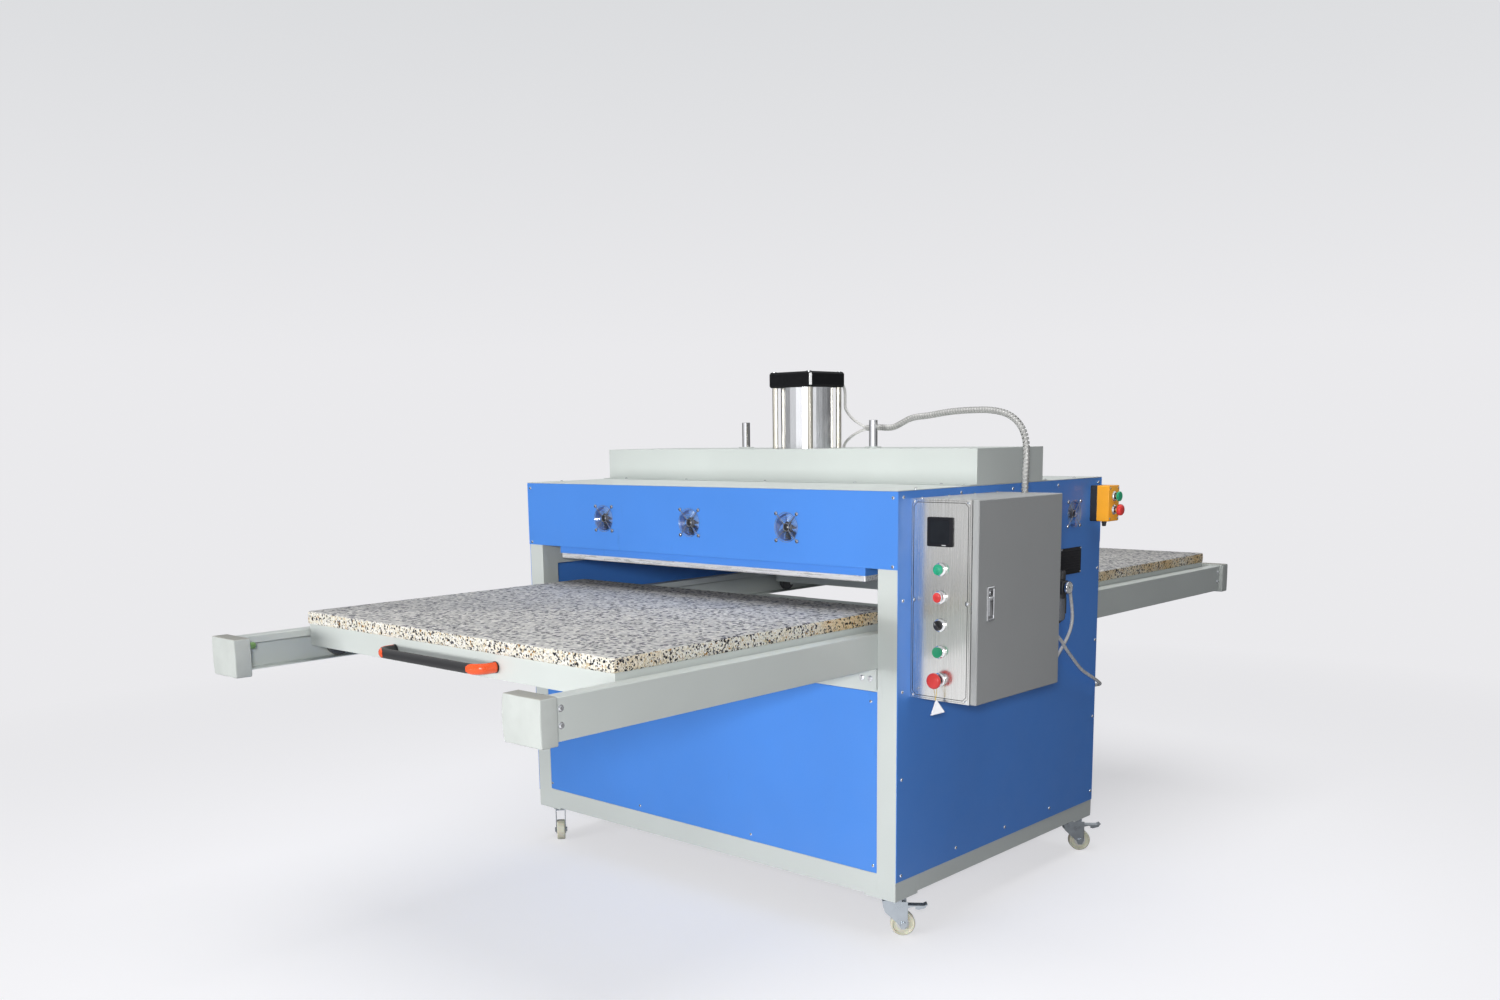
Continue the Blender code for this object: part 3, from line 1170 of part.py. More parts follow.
def caster_wheel():
    """A moulded wheel with a raised rim, turned about its axle."""
    tread, web = CASTER_WHEEL_W / 2, CASTER_WHEEL_W / 2 - 0.003
    bore, rim = CASTER_AXLE_R + 2 * FIT, CASTER_WHEEL_R - 0.006
    half = [(bore, web), (rim, web), (rim + 0.001, tread), (CASTER_WHEEL_R - 0.002, tread),
            (CASTER_WHEEL_R, tread - 0.003)]
    profile = half + [(radius, -height) for radius, height in reversed(half)]
    wheel = turned(profile + profile[:1], 20)
    smooth(wheel)
    wheel.data.transform(AXIS_TURN["Y"])
    return wheel


def brake_pedal():
    """A stamped lever on a pin between the fork's cheeks, about its own pin."""
    reach = PEDAL_REACH - PEDAL_PIN[0]
    blade = [(-0.004, -0.003), (0.004, -0.004), (0.022, 0.000), (reach - 0.008, -0.001), (reach, 0.004),
             (reach - 0.001, 0.006), (reach - 0.010, 0.002), (0.020, 0.003), (0.002, 0.004), (-0.004, 0.003)]
    lever = outline(blade, PEDAL_W, STAND)
    return join(lever, rod(0.004, (0, FIT - CHEEK_AT, 0), 2 * (CHEEK_AT - FIT), "Y", 10))


def build():
    base_frame()
    lower_panels()
    head_panels()
    side_panels()
    top_plate()
    beam_cover()
    head_beam()
    cylinder()
    platen_group()
    rails()
    rail_end_caps()
    tray("front_tray", FRONT_PAD_Y, -1)
    tray("rear_tray", REAR_PAD_Y, 1)
    control_box()
    electrics()
    control_plate()
    touch_screen()
    box_controls()
    control_door()
    button_station()
    air_regulator()
    hoses()
    caster("caster_front_left", -1, -1)
    caster("caster_front_right", 1, -1)
    caster("caster_rear_left", -1, 1)
    caster("caster_rear_right", 1, 1)


clear_scene()
PARTS = make_collection("pneumatic_heat_press")
MACHINE = bpy.data.objects.new("machine", None)
PARTS.objects.link(MACHINE)
MACHINE.location = (CENTRE_X, 0.0, CASTER_H)
build()
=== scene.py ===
"""Looks of the pneumatic heat press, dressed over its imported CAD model.

Shapes are in millimetres in the cabinet's own frame: x = 0 in its middle, +X the side of the
control box, +Y from the front tray to the rear one, z = 0 under its frame. The camera, lights and
textures are in metres.
"""
import json
import math
import random
from itertools import product

import bmesh
import bpy
from mathutils import Matrix, Vector

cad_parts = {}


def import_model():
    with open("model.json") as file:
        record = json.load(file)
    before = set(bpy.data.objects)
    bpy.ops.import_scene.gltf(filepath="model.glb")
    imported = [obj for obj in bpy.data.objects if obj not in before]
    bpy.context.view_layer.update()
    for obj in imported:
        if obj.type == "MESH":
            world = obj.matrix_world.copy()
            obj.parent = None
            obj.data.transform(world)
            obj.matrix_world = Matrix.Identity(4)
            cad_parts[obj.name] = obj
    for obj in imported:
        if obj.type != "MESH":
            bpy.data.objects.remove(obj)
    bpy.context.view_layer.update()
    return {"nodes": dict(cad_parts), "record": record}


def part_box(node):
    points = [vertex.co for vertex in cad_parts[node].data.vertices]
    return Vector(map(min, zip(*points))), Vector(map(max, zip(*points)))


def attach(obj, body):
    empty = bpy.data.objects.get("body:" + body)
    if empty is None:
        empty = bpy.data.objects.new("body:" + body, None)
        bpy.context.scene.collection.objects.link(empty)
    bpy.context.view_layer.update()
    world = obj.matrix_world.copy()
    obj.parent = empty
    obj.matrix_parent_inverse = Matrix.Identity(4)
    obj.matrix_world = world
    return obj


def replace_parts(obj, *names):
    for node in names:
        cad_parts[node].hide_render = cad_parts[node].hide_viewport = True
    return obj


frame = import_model()

MM = 0.001
ORIGIN = Vector((-0.09865, 0.0, 0.110))    # the cabinet's frame in the row's frame, in metres
X, Y, Z = Vector((1, 0, 0)), Vector((0, 1, 0)), Vector((0, 0, 1))
CORNERS = tuple(product((-1, 1), repeat=2))


def extent(node):
    """Lowest and highest corners of a CAD node in the cabinet's frame."""
    return [(corner - ORIGIN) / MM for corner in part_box(node)]


def rotation(degrees, axis):
    return Matrix.Rotation(math.radians(degrees), 4, axis)


# Camera, solved from the photograph
PHOTO, CENTRE, FOCAL = (1500, 1000), (730.85, 655.09), 1324.1      # pixels
EYE = Vector((2.63620, -3.19732, 1.20139))
YAW, PITCH, ROLL = 42.8908, 9.4905, -0.8222                        # degrees
SENSOR = 36.0                                                      # millimetres


def make_camera():
    data = bpy.data.cameras.new("camera")
    data.sensor_width = SENSOR
    data.lens = FOCAL / PHOTO[0] * SENSOR
    data.shift_x = (PHOTO[0] / 2 - CENTRE[0]) / PHOTO[0]
    data.shift_y = (CENTRE[1] - PHOTO[1] / 2) / PHOTO[0]
    data.clip_end = 100.0
    camera = bpy.data.objects.new("camera", data)
    turn = rotation(YAW, "Z") @ rotation(90 - PITCH, "X") @ rotation(ROLL, "Z")
    camera.matrix_world = Matrix.Translation(EYE + ORIGIN) @ turn
    bpy.context.scene.collection.objects.link(camera)
    bpy.context.scene.camera = camera


# Node trees
class Tree:
    """Short ways to add nodes, whose inputs take values or the sockets that feed them."""

    def __init__(self, owner):
        owner.use_nodes = True
        self.nodes, self.links = owner.node_tree.nodes, owner.node_tree.links

    def put(self, socket, value):
        if isinstance(value, bpy.types.NodeSocket):
            self.links.new(value, socket)
        else:
            socket.default_value = (*value, 1.0) if socket.type == "RGBA" else value

    def add(self, kind, inputs=(), **settings):
        """The outputs of a new node; its kind is its type without ShaderNode."""
        node = self.nodes.new("ShaderNode" + kind)
        for key, value in settings.items():
            setattr(node, key, value)
        for key, value in dict(inputs).items():
            self.put(node.inputs[key], value)
        return node.outputs

    def point(self, stretch=None):
        """The place on the object, in metres, scaled per axis."""
        place = self.add("TexCoord")["Object"]
        return self.add("Mapping", {"Vector": place, "Scale": stretch})[0] if stretch else place

    def noise(self, scale, detail=2, stretch=None, roughness=0.5):
        inputs = {"Vector": self.point(stretch), "Scale": scale, "Detail": detail, "Roughness": roughness}
        return self.add("TexNoise", inputs)[0]

    def cells(self, scale, feature="F1", randomness=1):
        inputs = {"Vector": self.point(), "Scale": scale, "Randomness": randomness}
        return self.add("TexVoronoi", inputs, feature=feature)

    def curve(self, value, low, high, out_low=0, out_high=1):
        """A value carried from one range to another and held at its ends."""
        return self.add("MapRange", {0: value, 1: low, 2: high, 3: out_low, 4: out_high})[0]

    def maths(self, operation, first, second=0):
        return self.add("Math", {0: first, 1: second}, operation=operation)[0]

    def blend(self, factor, first, second, how="MIX"):
        """Two colours, mixed by a factor."""
        return self.add("Mix", {0: factor, 6: first, 7: second}, data_type="RGBA", blend_type=how)[2]

    def ramp(self, value, stops, constant=False):
        """A colour picked along stops of (place, colour)."""
        colour = self.add("ValToRGB", {0: value})[0]
        band = colour.node.color_ramp
        band.interpolation = "CONSTANT" if constant else "LINEAR"
        while len(band.elements) < len(stops):
            band.elements.new(0.5)
        for element, (place, tone) in zip(band.elements, stops):
            element.position = place
            element.color = (*tone, 1.0)
        return colour

    def mottle(self, source, first, second):
        """One colour where the source is low, another where it is high."""
        return self.ramp(source, [(0.3, first), (0.7, second)])

    def bump(self, height, strength, distance, normal=None):
        inputs = {"Height": height, "Strength": strength, "Distance": distance}
        return self.add("Bump", inputs | ({"Normal": normal} if normal else {}))[0]

    def facing(self):
        """The three parts of the direction that the surface faces."""
        return self.add("SeparateXYZ", {0: self.add("NewGeometry")["Normal"]})

    def mix(self, factor, first, second):
        """Two shaders, mixed by a factor."""
        return self.add("MixShader", {0: factor, 1: first, 2: second})[0]


FINISHES = {}


class Finish(Tree):
    """A Principled material, kept by its name."""

    def __init__(self, name, **sockets):
        FINISHES[name] = bpy.data.materials.new(name)
        super().__init__(FINISHES[name])
        self.feed(**sockets)

    def feed(self, **sockets):
        for key, value in sockets.items():
            self.put(self.nodes["Principled BSDF"].inputs[key.replace("_", " ")], value)

    def surface(self, tone, rough, normal):
        self.tone = tone
        self.feed(Base_Color=tone, Roughness=rough, Normal=normal)


def shade(colour, factor):
    return tuple(min(1.0, part * factor) for part in colour)


# Finishes
def powder_coat(name, colour, grain, gloss=0.42, peel=0.10, marks=0):
    """Baked powder coat: fine grain, orange peel, slight drift of colour and a few scuffs."""
    coat = Finish(name, Coat_Weight=0.12, Coat_Roughness=0.25)
    fine = coat.noise(grain, 1)
    tone = coat.mottle(coat.noise(2.3, 3), shade(colour, 0.95), shade(colour, 1.04))
    tone = coat.blend(coat.curve(fine, 0.35, 0.65, 0, 0.10), tone, shade(colour, 0.72))
    if marks:
        scuff = coat.noise(9, 6, (1, 1, 0.25), 0.62)
        tone = coat.blend(coat.curve(scuff, 0.66, 0.74, 0, marks), tone, shade(colour, 0.6))
    rough = coat.curve(coat.noise(14, 4), 0.3, 0.7, gloss - 0.05, gloss + 0.08)
    normal = coat.bump(coat.noise(210, 1), peel * 0.6, 0.0015, coat.bump(fine, peel, 0.0006))
    coat.surface(tone, rough, normal)
    return coat


def brushed(name, colour, rough, along, grain=900, contrast=0.25, depth=0.05):
    """Metal with fine lines along one axis, each a little lighter, darker, smoother or rougher."""
    metal = Finish(name, Metallic=1)
    line = metal.noise(grain, 3, [0.012 if axis == along else 1 for axis in "XYZ"])
    tone = metal.mottle(line, shade(colour, 1 - contrast), shade(colour, 1 + contrast * 0.5))
    tone = metal.blend(metal.curve(metal.noise(6, 4), 0.45, 0.7, 0, 0.25), tone, shade(colour, 0.8))
    metal.surface(tone, metal.curve(line, 0.3, 0.7, rough - 0.06, rough + 0.08),
                  metal.bump(line, depth, 0.0004))


def polished(name, colour, rough, smear=0.06):
    """Plated or polished metal with faint smears."""
    metal = Finish(name, Metallic=1)
    cloud = metal.noise(45, 5, roughness=0.65)
    metal.surface(metal.mottle(cloud, shade(colour, 0.90), colour),
                  metal.curve(cloud, 0.35, 0.7, rough, rough + smear),
                  metal.bump(metal.noise(700), 0.03, 0.0003))


def moulded(name, colour, rough=0.45, grain=500, depth=0.12, **sockets):
    """Moulded plastic: a fine spark texture and a slight drift of tone."""
    plastic = Finish(name, **sockets)
    spark = plastic.noise(grain)
    plastic.surface(plastic.mottle(plastic.noise(20, 3), shade(colour, 0.94), shade(colour, 1.04)),
                    plastic.curve(spark, 0.3, 0.7, rough - 0.06, rough + 0.08),
                    plastic.bump(spark, depth, 0.0004))
    return plastic


def chips(sponge, scale, stops, gap=0):
    """Colours of crumbs packed together, picked at random for each, with dark gaps between."""
    crumb = sponge.cells(scale)
    tone = sponge.ramp(sponge.add("SeparateColor", {0: crumb["Color"]})[0], stops, constant=True)
    if gap:
        edge = sponge.cells(scale, "DISTANCE_TO_EDGE")["Distance"]
        tone = sponge.blend(sponge.curve(edge, 0, gap, 0.55, 0), tone, (0.10, 0.08, 0.05))
    return tone, crumb["Distance"]


def pad_foam():
    """Cut side of the pad: chips of cream sponge with black, brown and amber ones."""
    foam = Finish("pad_foam", Roughness=0.95)
    cream, pale, sand = (0.90, 0.85, 0.72), (0.95, 0.93, 0.87), (0.76, 0.64, 0.44)
    black, slate, rust = (0.012, 0.012, 0.018), (0.09, 0.095, 0.12), (0.42, 0.24, 0.08)
    stops = [(0, cream), (0.22, pale), (0.50, sand), (0.57, cream), (0.66, black), (0.84, slate),
             (0.89, rust), (0.92, cream)]
    tone, far = chips(foam, 185, stops, 0.05)
    small, _ = chips(foam, 300, [(0, pale), (0.54, cream), (0.78, black), (0.93, sand)])
    tone = foam.blend(foam.curve(foam.noise(150), 0.52, 0.56), tone, small)
    side = foam.curve(foam.maths("ABSOLUTE", foam.facing()["X"]), 0.5, 0.9, 0, 0.75)
    amber = foam.curve(foam.noise(5, 3), 0.38, 0.62)
    tone = foam.blend(foam.maths("MULTIPLY", side, amber), tone, (0.86, 0.60, 0.26), "MULTIPLY")
    foam.feed(Base_Color=tone, Normal=foam.bump(far, 0.7, 0.004, foam.bump(foam.noise(700, 3), 0.6, 0.001)))


def pad_felt():
    """Face of the pad: pressed grey felt through which the chips show as flecks."""
    felt = Finish("pad_felt", Roughness=0.92, Sheen_Weight=0.12, Sheen_Roughness=0.5)
    grey, pale, lilac = (0.55, 0.54, 0.515), (0.695, 0.68, 0.65), (0.465, 0.455, 0.455)
    tone, far = chips(felt, 105, [(0, grey), (0.36, pale), (0.66, lilac), (0.84, grey)])
    flecks, near = chips(felt, 98, [(0, (0.012, 0.014, 0.028)), (0.6, (0.05, 0.048, 0.075))])
    pick = felt.add("SeparateColor", {0: felt.cells(98)["Color"]})[1]
    dark = felt.maths("MULTIPLY", felt.curve(near, 0.56, 0.50), felt.curve(pick, 0.60, 0.62))
    tone = felt.blend(felt.maths("MULTIPLY", dark, 0.96), tone, flecks)
    light = felt.maths("MULTIPLY", felt.curve(near, 0.50, 0.40), felt.curve(pick, 0.22, 0.20))
    tone = felt.blend(felt.maths("MULTIPLY", light, 0.8), tone, (0.93, 0.90, 0.82))
    fibre = felt.noise(900, 3)
    tone = felt.blend(felt.curve(fibre, 0.3, 0.7, 0, 0.16), tone, (0.20, 0.20, 0.22))
    tone = felt.blend(felt.curve(felt.noise(3, 3), 0.35, 0.7, 0, 0.14), tone, (0.34, 0.33, 0.35))
    felt.feed(Base_Color=tone, Normal=felt.bump(fibre, 0.5, 0.001, felt.bump(far, 0.18, 0.002)))


def clear_hose():
    """Clear air hose, slightly clouded."""
    clear = Finish("hose", Transmission_Weight=0.12, IOR=1.45, Coat_Weight=0.3)
    clear.surface(clear.mottle(clear.noise(40, 3), (0.74, 0.73, 0.71), (0.80, 0.79, 0.77)),
                  clear.curve(clear.noise(90), 0.3, 0.7, 0.18, 0.32),
                  clear.bump(clear.noise(300), 0.02, 0.0003))


def black_cap():
    """Black anodised cylinder cap whose chamfered corners are painted lighter metallic grey: a painted
    highlight along the chamfers.
    """
    cap = Finish("black_cap", Specular_IOR_Level=0.05)
    across, along, _ = cap.facing()
    corner = cap.maths("ABSOLUTE", cap.maths("MULTIPLY", across, along))
    # painted highlight: faces turned toward the four vertical chamfers get a light metallic grey
    corner_highlight = cap.curve(corner, 0.30, 0.42)
    grain = cap.noise(350, 3)
    black = cap.mottle(grain, (0.008, 0.008, 0.009), (0.016, 0.016, 0.018))
    cap.feed(Metallic=corner_highlight)
    cap.surface(cap.blend(corner_highlight, black, (0.34, 0.34, 0.34)), cap.curve(grain, 0.3, 0.7, 0.32, 0.48),
                cap.bump(grain, 0.15, 0.0004))


def platen_metal():
    """Ground aluminium, bright, with the scrapes that trays and tools leave."""
    metal = Finish("platen_metal", Metallic=0.45)
    line = metal.noise(260, 4, (0.06, 1, 1))
    scrape = metal.noise(60, 8, (0.25, 1, 2.5), 0.72)
    tone = metal.mottle(line, (0.74, 0.74, 0.75), (0.93, 0.93, 0.93))
    tone = metal.blend(metal.curve(scrape, 0.58, 0.66, 0, 0.65), tone, (0.30, 0.30, 0.31))
    metal.surface(tone, metal.curve(line, 0.3, 0.7, 0.22, 0.42), metal.bump(scrape, 0.25, 0.001))


def tray_paint(colour):
    """The tray's powder coat, with nylon wheels where its axles stand out beside it."""
    coat = powder_coat("tray_paint", colour, 1500, marks=0.3)
    across = coat.add("SeparateXYZ", {0: coat.point()})["X"]
    beside = coat.maths("ABSOLUTE", coat.maths("SUBTRACT", across, ORIGIN.x))
    wheel = coat.maths("GREATER_THAN", beside, WHEEL_SIDE)
    coat.feed(Base_Color=coat.blend(wheel, coat.tone, (0.10, 0.10, 0.105)))


def cast_grey(colour):
    """The end caps' moulding, mixed towards a darker grey on its upward faces."""
    cast = moulded("cast_grey", colour, 0.55, 420, 0.22, Specular_IOR_Level=0.2)
    upward_darkening = cast.curve(cast.facing()["Z"], 0.5, 0.9)
    cast.feed(Base_Color=cast.blend(upward_darkening, cast.tone, (0.38, 0.375, 0.34)))


def glass():
    pane = Finish("glass", IOR=1.5, Specular_IOR_Level=0.25)
    tone = pane.mottle(pane.noise(25), (0.006, 0.008, 0.012), (0.010, 0.013, 0.018))
    pane.feed(Base_Color=tone, Roughness=pane.curve(pane.noise(60, 4), 0.3, 0.8, 0.08, 0.22))


def lens(name, colour):
    """A coloured lens with a little depth and a diamond-cut face."""
    made = Finish(name, Transmission_Weight=0.15, IOR=1.49, Coat_Weight=0.8, Coat_Roughness=0.08,
                  Emission_Strength=0)
    cut = made.cells(900, randomness=0.1)["Distance"]
    made.surface(made.mottle(made.noise(120), shade(colour, 0.85), shade(colour, 1.15)),
                 made.curve(cut, 0, 0.7, 0.18, 0.30), made.bump(cut, 0.2, 0.0004))


WHEEL_SIDE = 0.6103        # metres; beside this the tray node is axle and wheel
GREY = (0.66, 0.70, 0.675)

powder_coat("grey_paint", GREY, 1500, marks=0.25)
powder_coat("blue_paint", (0.078, 0.28, 0.82), 1300, 0.40, 0.16, marks=0.35)
powder_coat("grey_box", (0.425, 0.435, 0.435), 800, 0.46, 0.34)
tray_paint(GREY)
cast_grey((0.585, 0.615, 0.59))
platen_metal()
black_cap()
clear_hose()
pad_foam()
pad_felt()
glass()
lens("lens_green", (0, 0.42, 0.22))
lens("lens_red", (0.80, 0.03, 0.03))
brushed("steel", (0.66, 0.63, 0.55), 0.26, "Z", contrast=0.12)
brushed("stainless", (0.82, 0.82, 0.80), 0.22, "Z", 700, 0.12)
brushed("aluminium", (0.80, 0.81, 0.83), 0.30, "Z", 1200, 0.06, 0.02)
brushed("brass", (0.76, 0.56, 0.26), 0.24, "Y", 600, 0.14)
polished("chrome", (0.80, 0.81, 0.83), 0.05)
polished("zinc", (0.42, 0.46, 0.50), 0.24, 0.16)
polished("wire", (0.50, 0.52, 0.56), 0.10)
polished("screw", (0.66, 0.68, 0.70), 0.18, 0.12)
moulded("black_plastic", (0.022, 0.022, 0.024), 0.42)
moulded("nylon", (0.80, 0.77, 0.62), 0.38, 260, 0.10, Subsurface_Weight=0.10)
moulded("red", (0.76, 0.040, 0.035), 0.34, 350, 0.06, Coat_Weight=0.3)
moulded("green", (0.012, 0.36, 0.17), 0.34, 350, 0.06, Coat_Weight=0.3)
moulded("orange", (0.93, 0.40, 0.025), 0.40, 380, 0.10)
moulded("electrics", (0.25, 0.27, 0.28), 0.5)
moulded("insert_orange", (0.95, 0.10, 0.012), 0.22, 350, 0.05, Coat_Weight=0.3)
moulded("dark", (0.010, 0.010, 0.013), 0.6, Specular_IOR_Level=0.25)
moulded("engraved", (0.045, 0.045, 0.045), 0.55)
moulded("collar_white", (0.74, 0.75, 0.76), 0.3, 350, 0.05, Coat_Weight=0.3)
moulded("rubber_green", (0.16, 0.30, 0.10), 0.5, 350, 0.2)
moulded("tag_white", (0.84, 0.84, 0.86), 0.4, 500, 0.08)
moulded("string_yellow", (0.72, 0.50, 0.06), 0.7, 900, 0.4)
moulded("fan_blade", (0.16, 0.42, 0.98), 0.34, 300, 0.04, Coat_Weight=0.2)
moulded("wrap", (0.50, 0.50, 0.485), 0.26, 300, 0.15, Transmission_Weight=0.15)
moulded("bowl", (0.30, 0.31, 0.32), 0.16, 300, 0.05, Transmission_Weight=0.5)
moulded("white_plastic", (0.72, 0.72, 0.70), 0.42)
moulded("wire_red", (0.55, 0.03, 0.03), 0.4)
moulded("wire_blue", (0.03, 0.10, 0.45), 0.4)


# Outlines and lines
def circle(centre, axis, radius, sides):
    side = axis.orthogonal().normalized()
    up = axis.cross(side).normalized()
    angles = [math.tau * index / sides for index in range(sides)]
    return [centre + radius * (math.cos(angle) * side + math.sin(angle) * up) for angle in angles]


def oval(wide, tall, sides):
    angles = [math.tau * index / sides for index in range(sides)]
    return [(wide * math.cos(angle), tall * math.sin(angle)) for angle in angles]


def rounded(centre, side, up, half_a, half_b, corner, steps=4):
    """Points round a rectangle with rounded corners."""
    places = []
    for turn, (a, b) in enumerate(((1, 1), (-1, 1), (-1, -1), (1, -1))):
        middle = centre + a * (half_a - corner) * side + b * (half_b - corner) * up
        for step in range(steps + 1):
            angle = math.pi / 2 * (turn + step / steps)
            places.append(middle + corner * (math.cos(angle) * side + math.sin(angle) * up))
    return places


def through(points, steps=6):
    """A smooth line through points (Catmull-Rom)."""
    ends = [2 * points[0] - points[1], *points, 2 * points[-1] - points[-2]]
    route = []
    for index in range(1, len(ends) - 2):
        before, start, stop, after = ends[index - 1:index + 3]
        for t in [step / steps for step in range(steps)]:
            route.append(0.5 * (2 * start + (stop - before) * t
                                + (2 * before - 5 * start + 4 * stop - after) * t ** 2
                                + (3 * start - before - 3 * stop + after) * t ** 3))
    return route + [points[-1]]


def offsets(origin, points):
    return [Vector(origin) + Vector(point) for point in points]


def length_of(path):
    return sum((second - first).length for first, second in zip(path, path[1:]))


def heading(route, index):
    """The direction of a route at one of its points."""
    return (route[min(index + 1, len(route) - 1)] - route[max(index - 1, 0)]).normalized()


# Shapes
class Shape:
    """Faces of one piece, each with the number of its material."""

    def __init__(self):
        self.mesh = bmesh.new()
        self.number = 0

    def on(self, number):
        """The same shape, going on with another material."""
        self.number = number
        return self

    def points(self, places):
        return [self.mesh.verts.new(place) for place in places]

    def face(self, corners):
        self.mesh.faces.new(corners).material_index = self.number

    def bridge(self, first, second):
        """Faces between two closed rings of the same length, or between a ring and a point."""
        for index in range(max(len(first), len(second))):
            corners = [ring[step % len(ring)] for ring, step in
                       ((first, index), (second, index), (second, index + 1), (first, index + 1))]
            self.face(list(dict.fromkeys(corners)))

    def skin(self, rings, change=None):
        """Faces over stacked rings and both ends; from ring change on they take the next material."""
        self.face(rings[0])
        for index, (first, second) in enumerate(zip(rings, rings[1:])):
            self.number += index == change
            self.bridge(first, second)
        self.number += change == len(rings) - 1
        self.face(rings[-1])

    def ring(self, profile, origin, axis, sides=24):
        """A turned surface through (radius, height) points along an axis."""
        rings = []
        for radius, height in profile:
            centre = Vector(origin) + axis * height
            rings.append(self.points(circle(centre, axis, radius, sides) if radius else [centre]))
        for first, second in zip(rings, rings[1:]):
            self.bridge(first, second)

    def lathe(self, profile, origin, axis, sides=24):
        """A turned solid: its profile's ends are joined to the axis."""
        first, last = profile[0], profile[-1]
        closed = [(0, first[1])] * (first[0] > 0) + list(profile) + [(0, last[1])] * (last[0] > 0)
        self.ring(closed, origin, axis, sides)

    def block(self, low, high, radius=0, segments=2, matrix=Matrix()):
        """A box between two corners, its edges rounded."""
        low, high = Vector(low), Vector(high)
        place = Matrix.Translation((low + high) / 2) @ Matrix.Diagonal((*(high - low), 1))
        made = bmesh.ops.create_cube(self.mesh, size=1, matrix=matrix @ place)["verts"]
        for face in {face for vert in made for face in vert.link_faces}:
            face.material_index = self.number
        if radius:
            self.ease({edge for vert in made for edge in vert.link_edges}, radius, segments)

    def ease(self, edges, radius, segments):
        bmesh.ops.bevel(self.mesh, geom=list(edges), offset=radius, segments=segments, profile=0.5,
                        affect="EDGES", clamp_overlap=True)

    def slab(self, outline, depth, place):
        """A flat outline of (u, v) points, thickened along the third axis of its place."""
        self.skin([self.points([place @ Vector((u, v, w)) for u, v in outline]) for w in (0, depth)])

    def tower(self, centre, axis, halves, rows, change=None):
        """Rounded rectangles stacked along an axis, by their (inset, inset, corner, height)."""
        side = X if abs(axis.z) > 0.5 else Z.cross(axis).normalized()
        up = axis.cross(side)
        rings = []
        for inset_a, inset_b, corner, height in rows:
            middle = Vector(centre) + axis * height
            size = halves[0] - inset_a, halves[1] - inset_b
            rings.append(self.points(rounded(middle, side, up, *size, corner)))
        self.skin(rings, change)

    def sweep(self, path, section, closed=False, hint=None):
        """A section of (a, b) offsets carried along a path."""
        path = [Vector(point) for point in path]
        rings, side = [], hint
        for index, point in enumerate(path):
            before = path[index - 1] if index or closed else point
            after = path[(index + 1) % len(path)] if index + 1 < len(path) or closed else point
            ahead = (after - before).normalized()
            side = ahead.orthogonal() if side is None else side
            side = (side - ahead * side.dot(ahead)).normalized()
            up = ahead.cross(side)
            rings.append(self.points([point + a * side + b * up for a, b in section]))
        if not closed:
            return self.skin(rings)
        for first, second in zip(rings, rings[1:] + rings[:1]):
            self.bridge(first, second)

    def wire(self, path, radius, sides=8, closed=False):
        self.sweep(path, oval(radius, radius, sides), closed)

    def finish(self, name, finishes, slot, body="machine", sharp=35):
        """The shape as an object in the row's frame, with its materials, riding on a body."""
        bmesh.ops.recalc_face_normals(self.mesh, faces=self.mesh.faces)
        for face in self.mesh.faces:
            face.smooth = True
        mesh = bpy.data.meshes.new(name)
        self.mesh.to_mesh(mesh)
        self.mesh.free()
        mesh.transform(Matrix.Translation(ORIGIN) @ Matrix.Scale(MM, 4))
        mesh.set_sharp_from_angle(angle=math.radians(sharp))
        for finish in finishes.split():
            mesh.materials.append(FINISHES[finish])
        piece = bpy.data.objects.new(name, mesh)
        bpy.context.scene.collection.objects.link(piece)
        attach(piece, body)
        return piece

    def dress(self, node, finishes, slot, body="machine", sharp=35):
        """The shape as a piece that takes the place of a CAD node."""
        piece = self.finish(node + "_dressed", finishes, slot, body, sharp)
        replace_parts(piece, node)
        return piece


def cord(name, route, radius, sides, finish, slot, body, sharp, **more):
    """A round cord along a route, which goes back into the object."""
    shape = Shape()
    shape.wire(route, radius, sides)
    piece = shape.finish(name, finish, slot, body, sharp)
    return piece


# Fasteners
TURNS = random.Random(7)


def screw(shape, point, axis, radius=4.6, height=2.6):
    """A domed head on material 0 (metal), with a dark cross on material 1 that stands for its cross recess as
    painted shade.
    """
    point = Vector(point)
    dome = [(radius, -0.2), (radius, height * 0.25), (radius * 0.86, height * 0.68),
            (radius * 0.55, height * 0.95), (0, height)]
    shape.on(0).lathe(dome, point, axis, 14)
    # painted shade: the recess is not cut; a dark cross laid on the dome stands for its shade
    side = axis.orthogonal().normalized()
    turn = Matrix.Rotation(TURNS.uniform(0, math.pi), 3, axis)
    long, wide = radius * 0.52, radius * 0.12
    for along in (turn @ side, turn @ axis.cross(side)):
        place = Matrix((along, axis.cross(along), axis)).transposed().to_4x4()
        place.translation = point + axis * height * 0.6
        shape.on(1).slab([(-long, -wide), (long, -wide), (long, wide), (-long, wide)], height * 0.42, place)
    shape.on(0)


def rivet(shape, point, axis, radius, height):
    shape.lathe([(radius, -0.2), (radius * 0.92, height * 0.5), (radius * 0.6, height * 0.9), (0, height)],
                point, axis, 14)


def bolt(shape, point, axis, radius, height):
    """A hexagon head with a shallow well, on a washer."""
    washer, edge = height * 0.22, height * 0.12
    shape.lathe([(radius * 1.35, 0), (radius * 1.35, washer)], point, axis, 20)
    shape.lathe([(radius, washer), (radius, height - edge), (radius * 0.9, height), (radius * 0.5, height),
                 (radius * 0.46, height - edge)], point, axis, 6)


FRONT_Y, RIGHT_X, TOP_Z = -524, 720, 1058
LOWER_FRONT_Y = -521.4


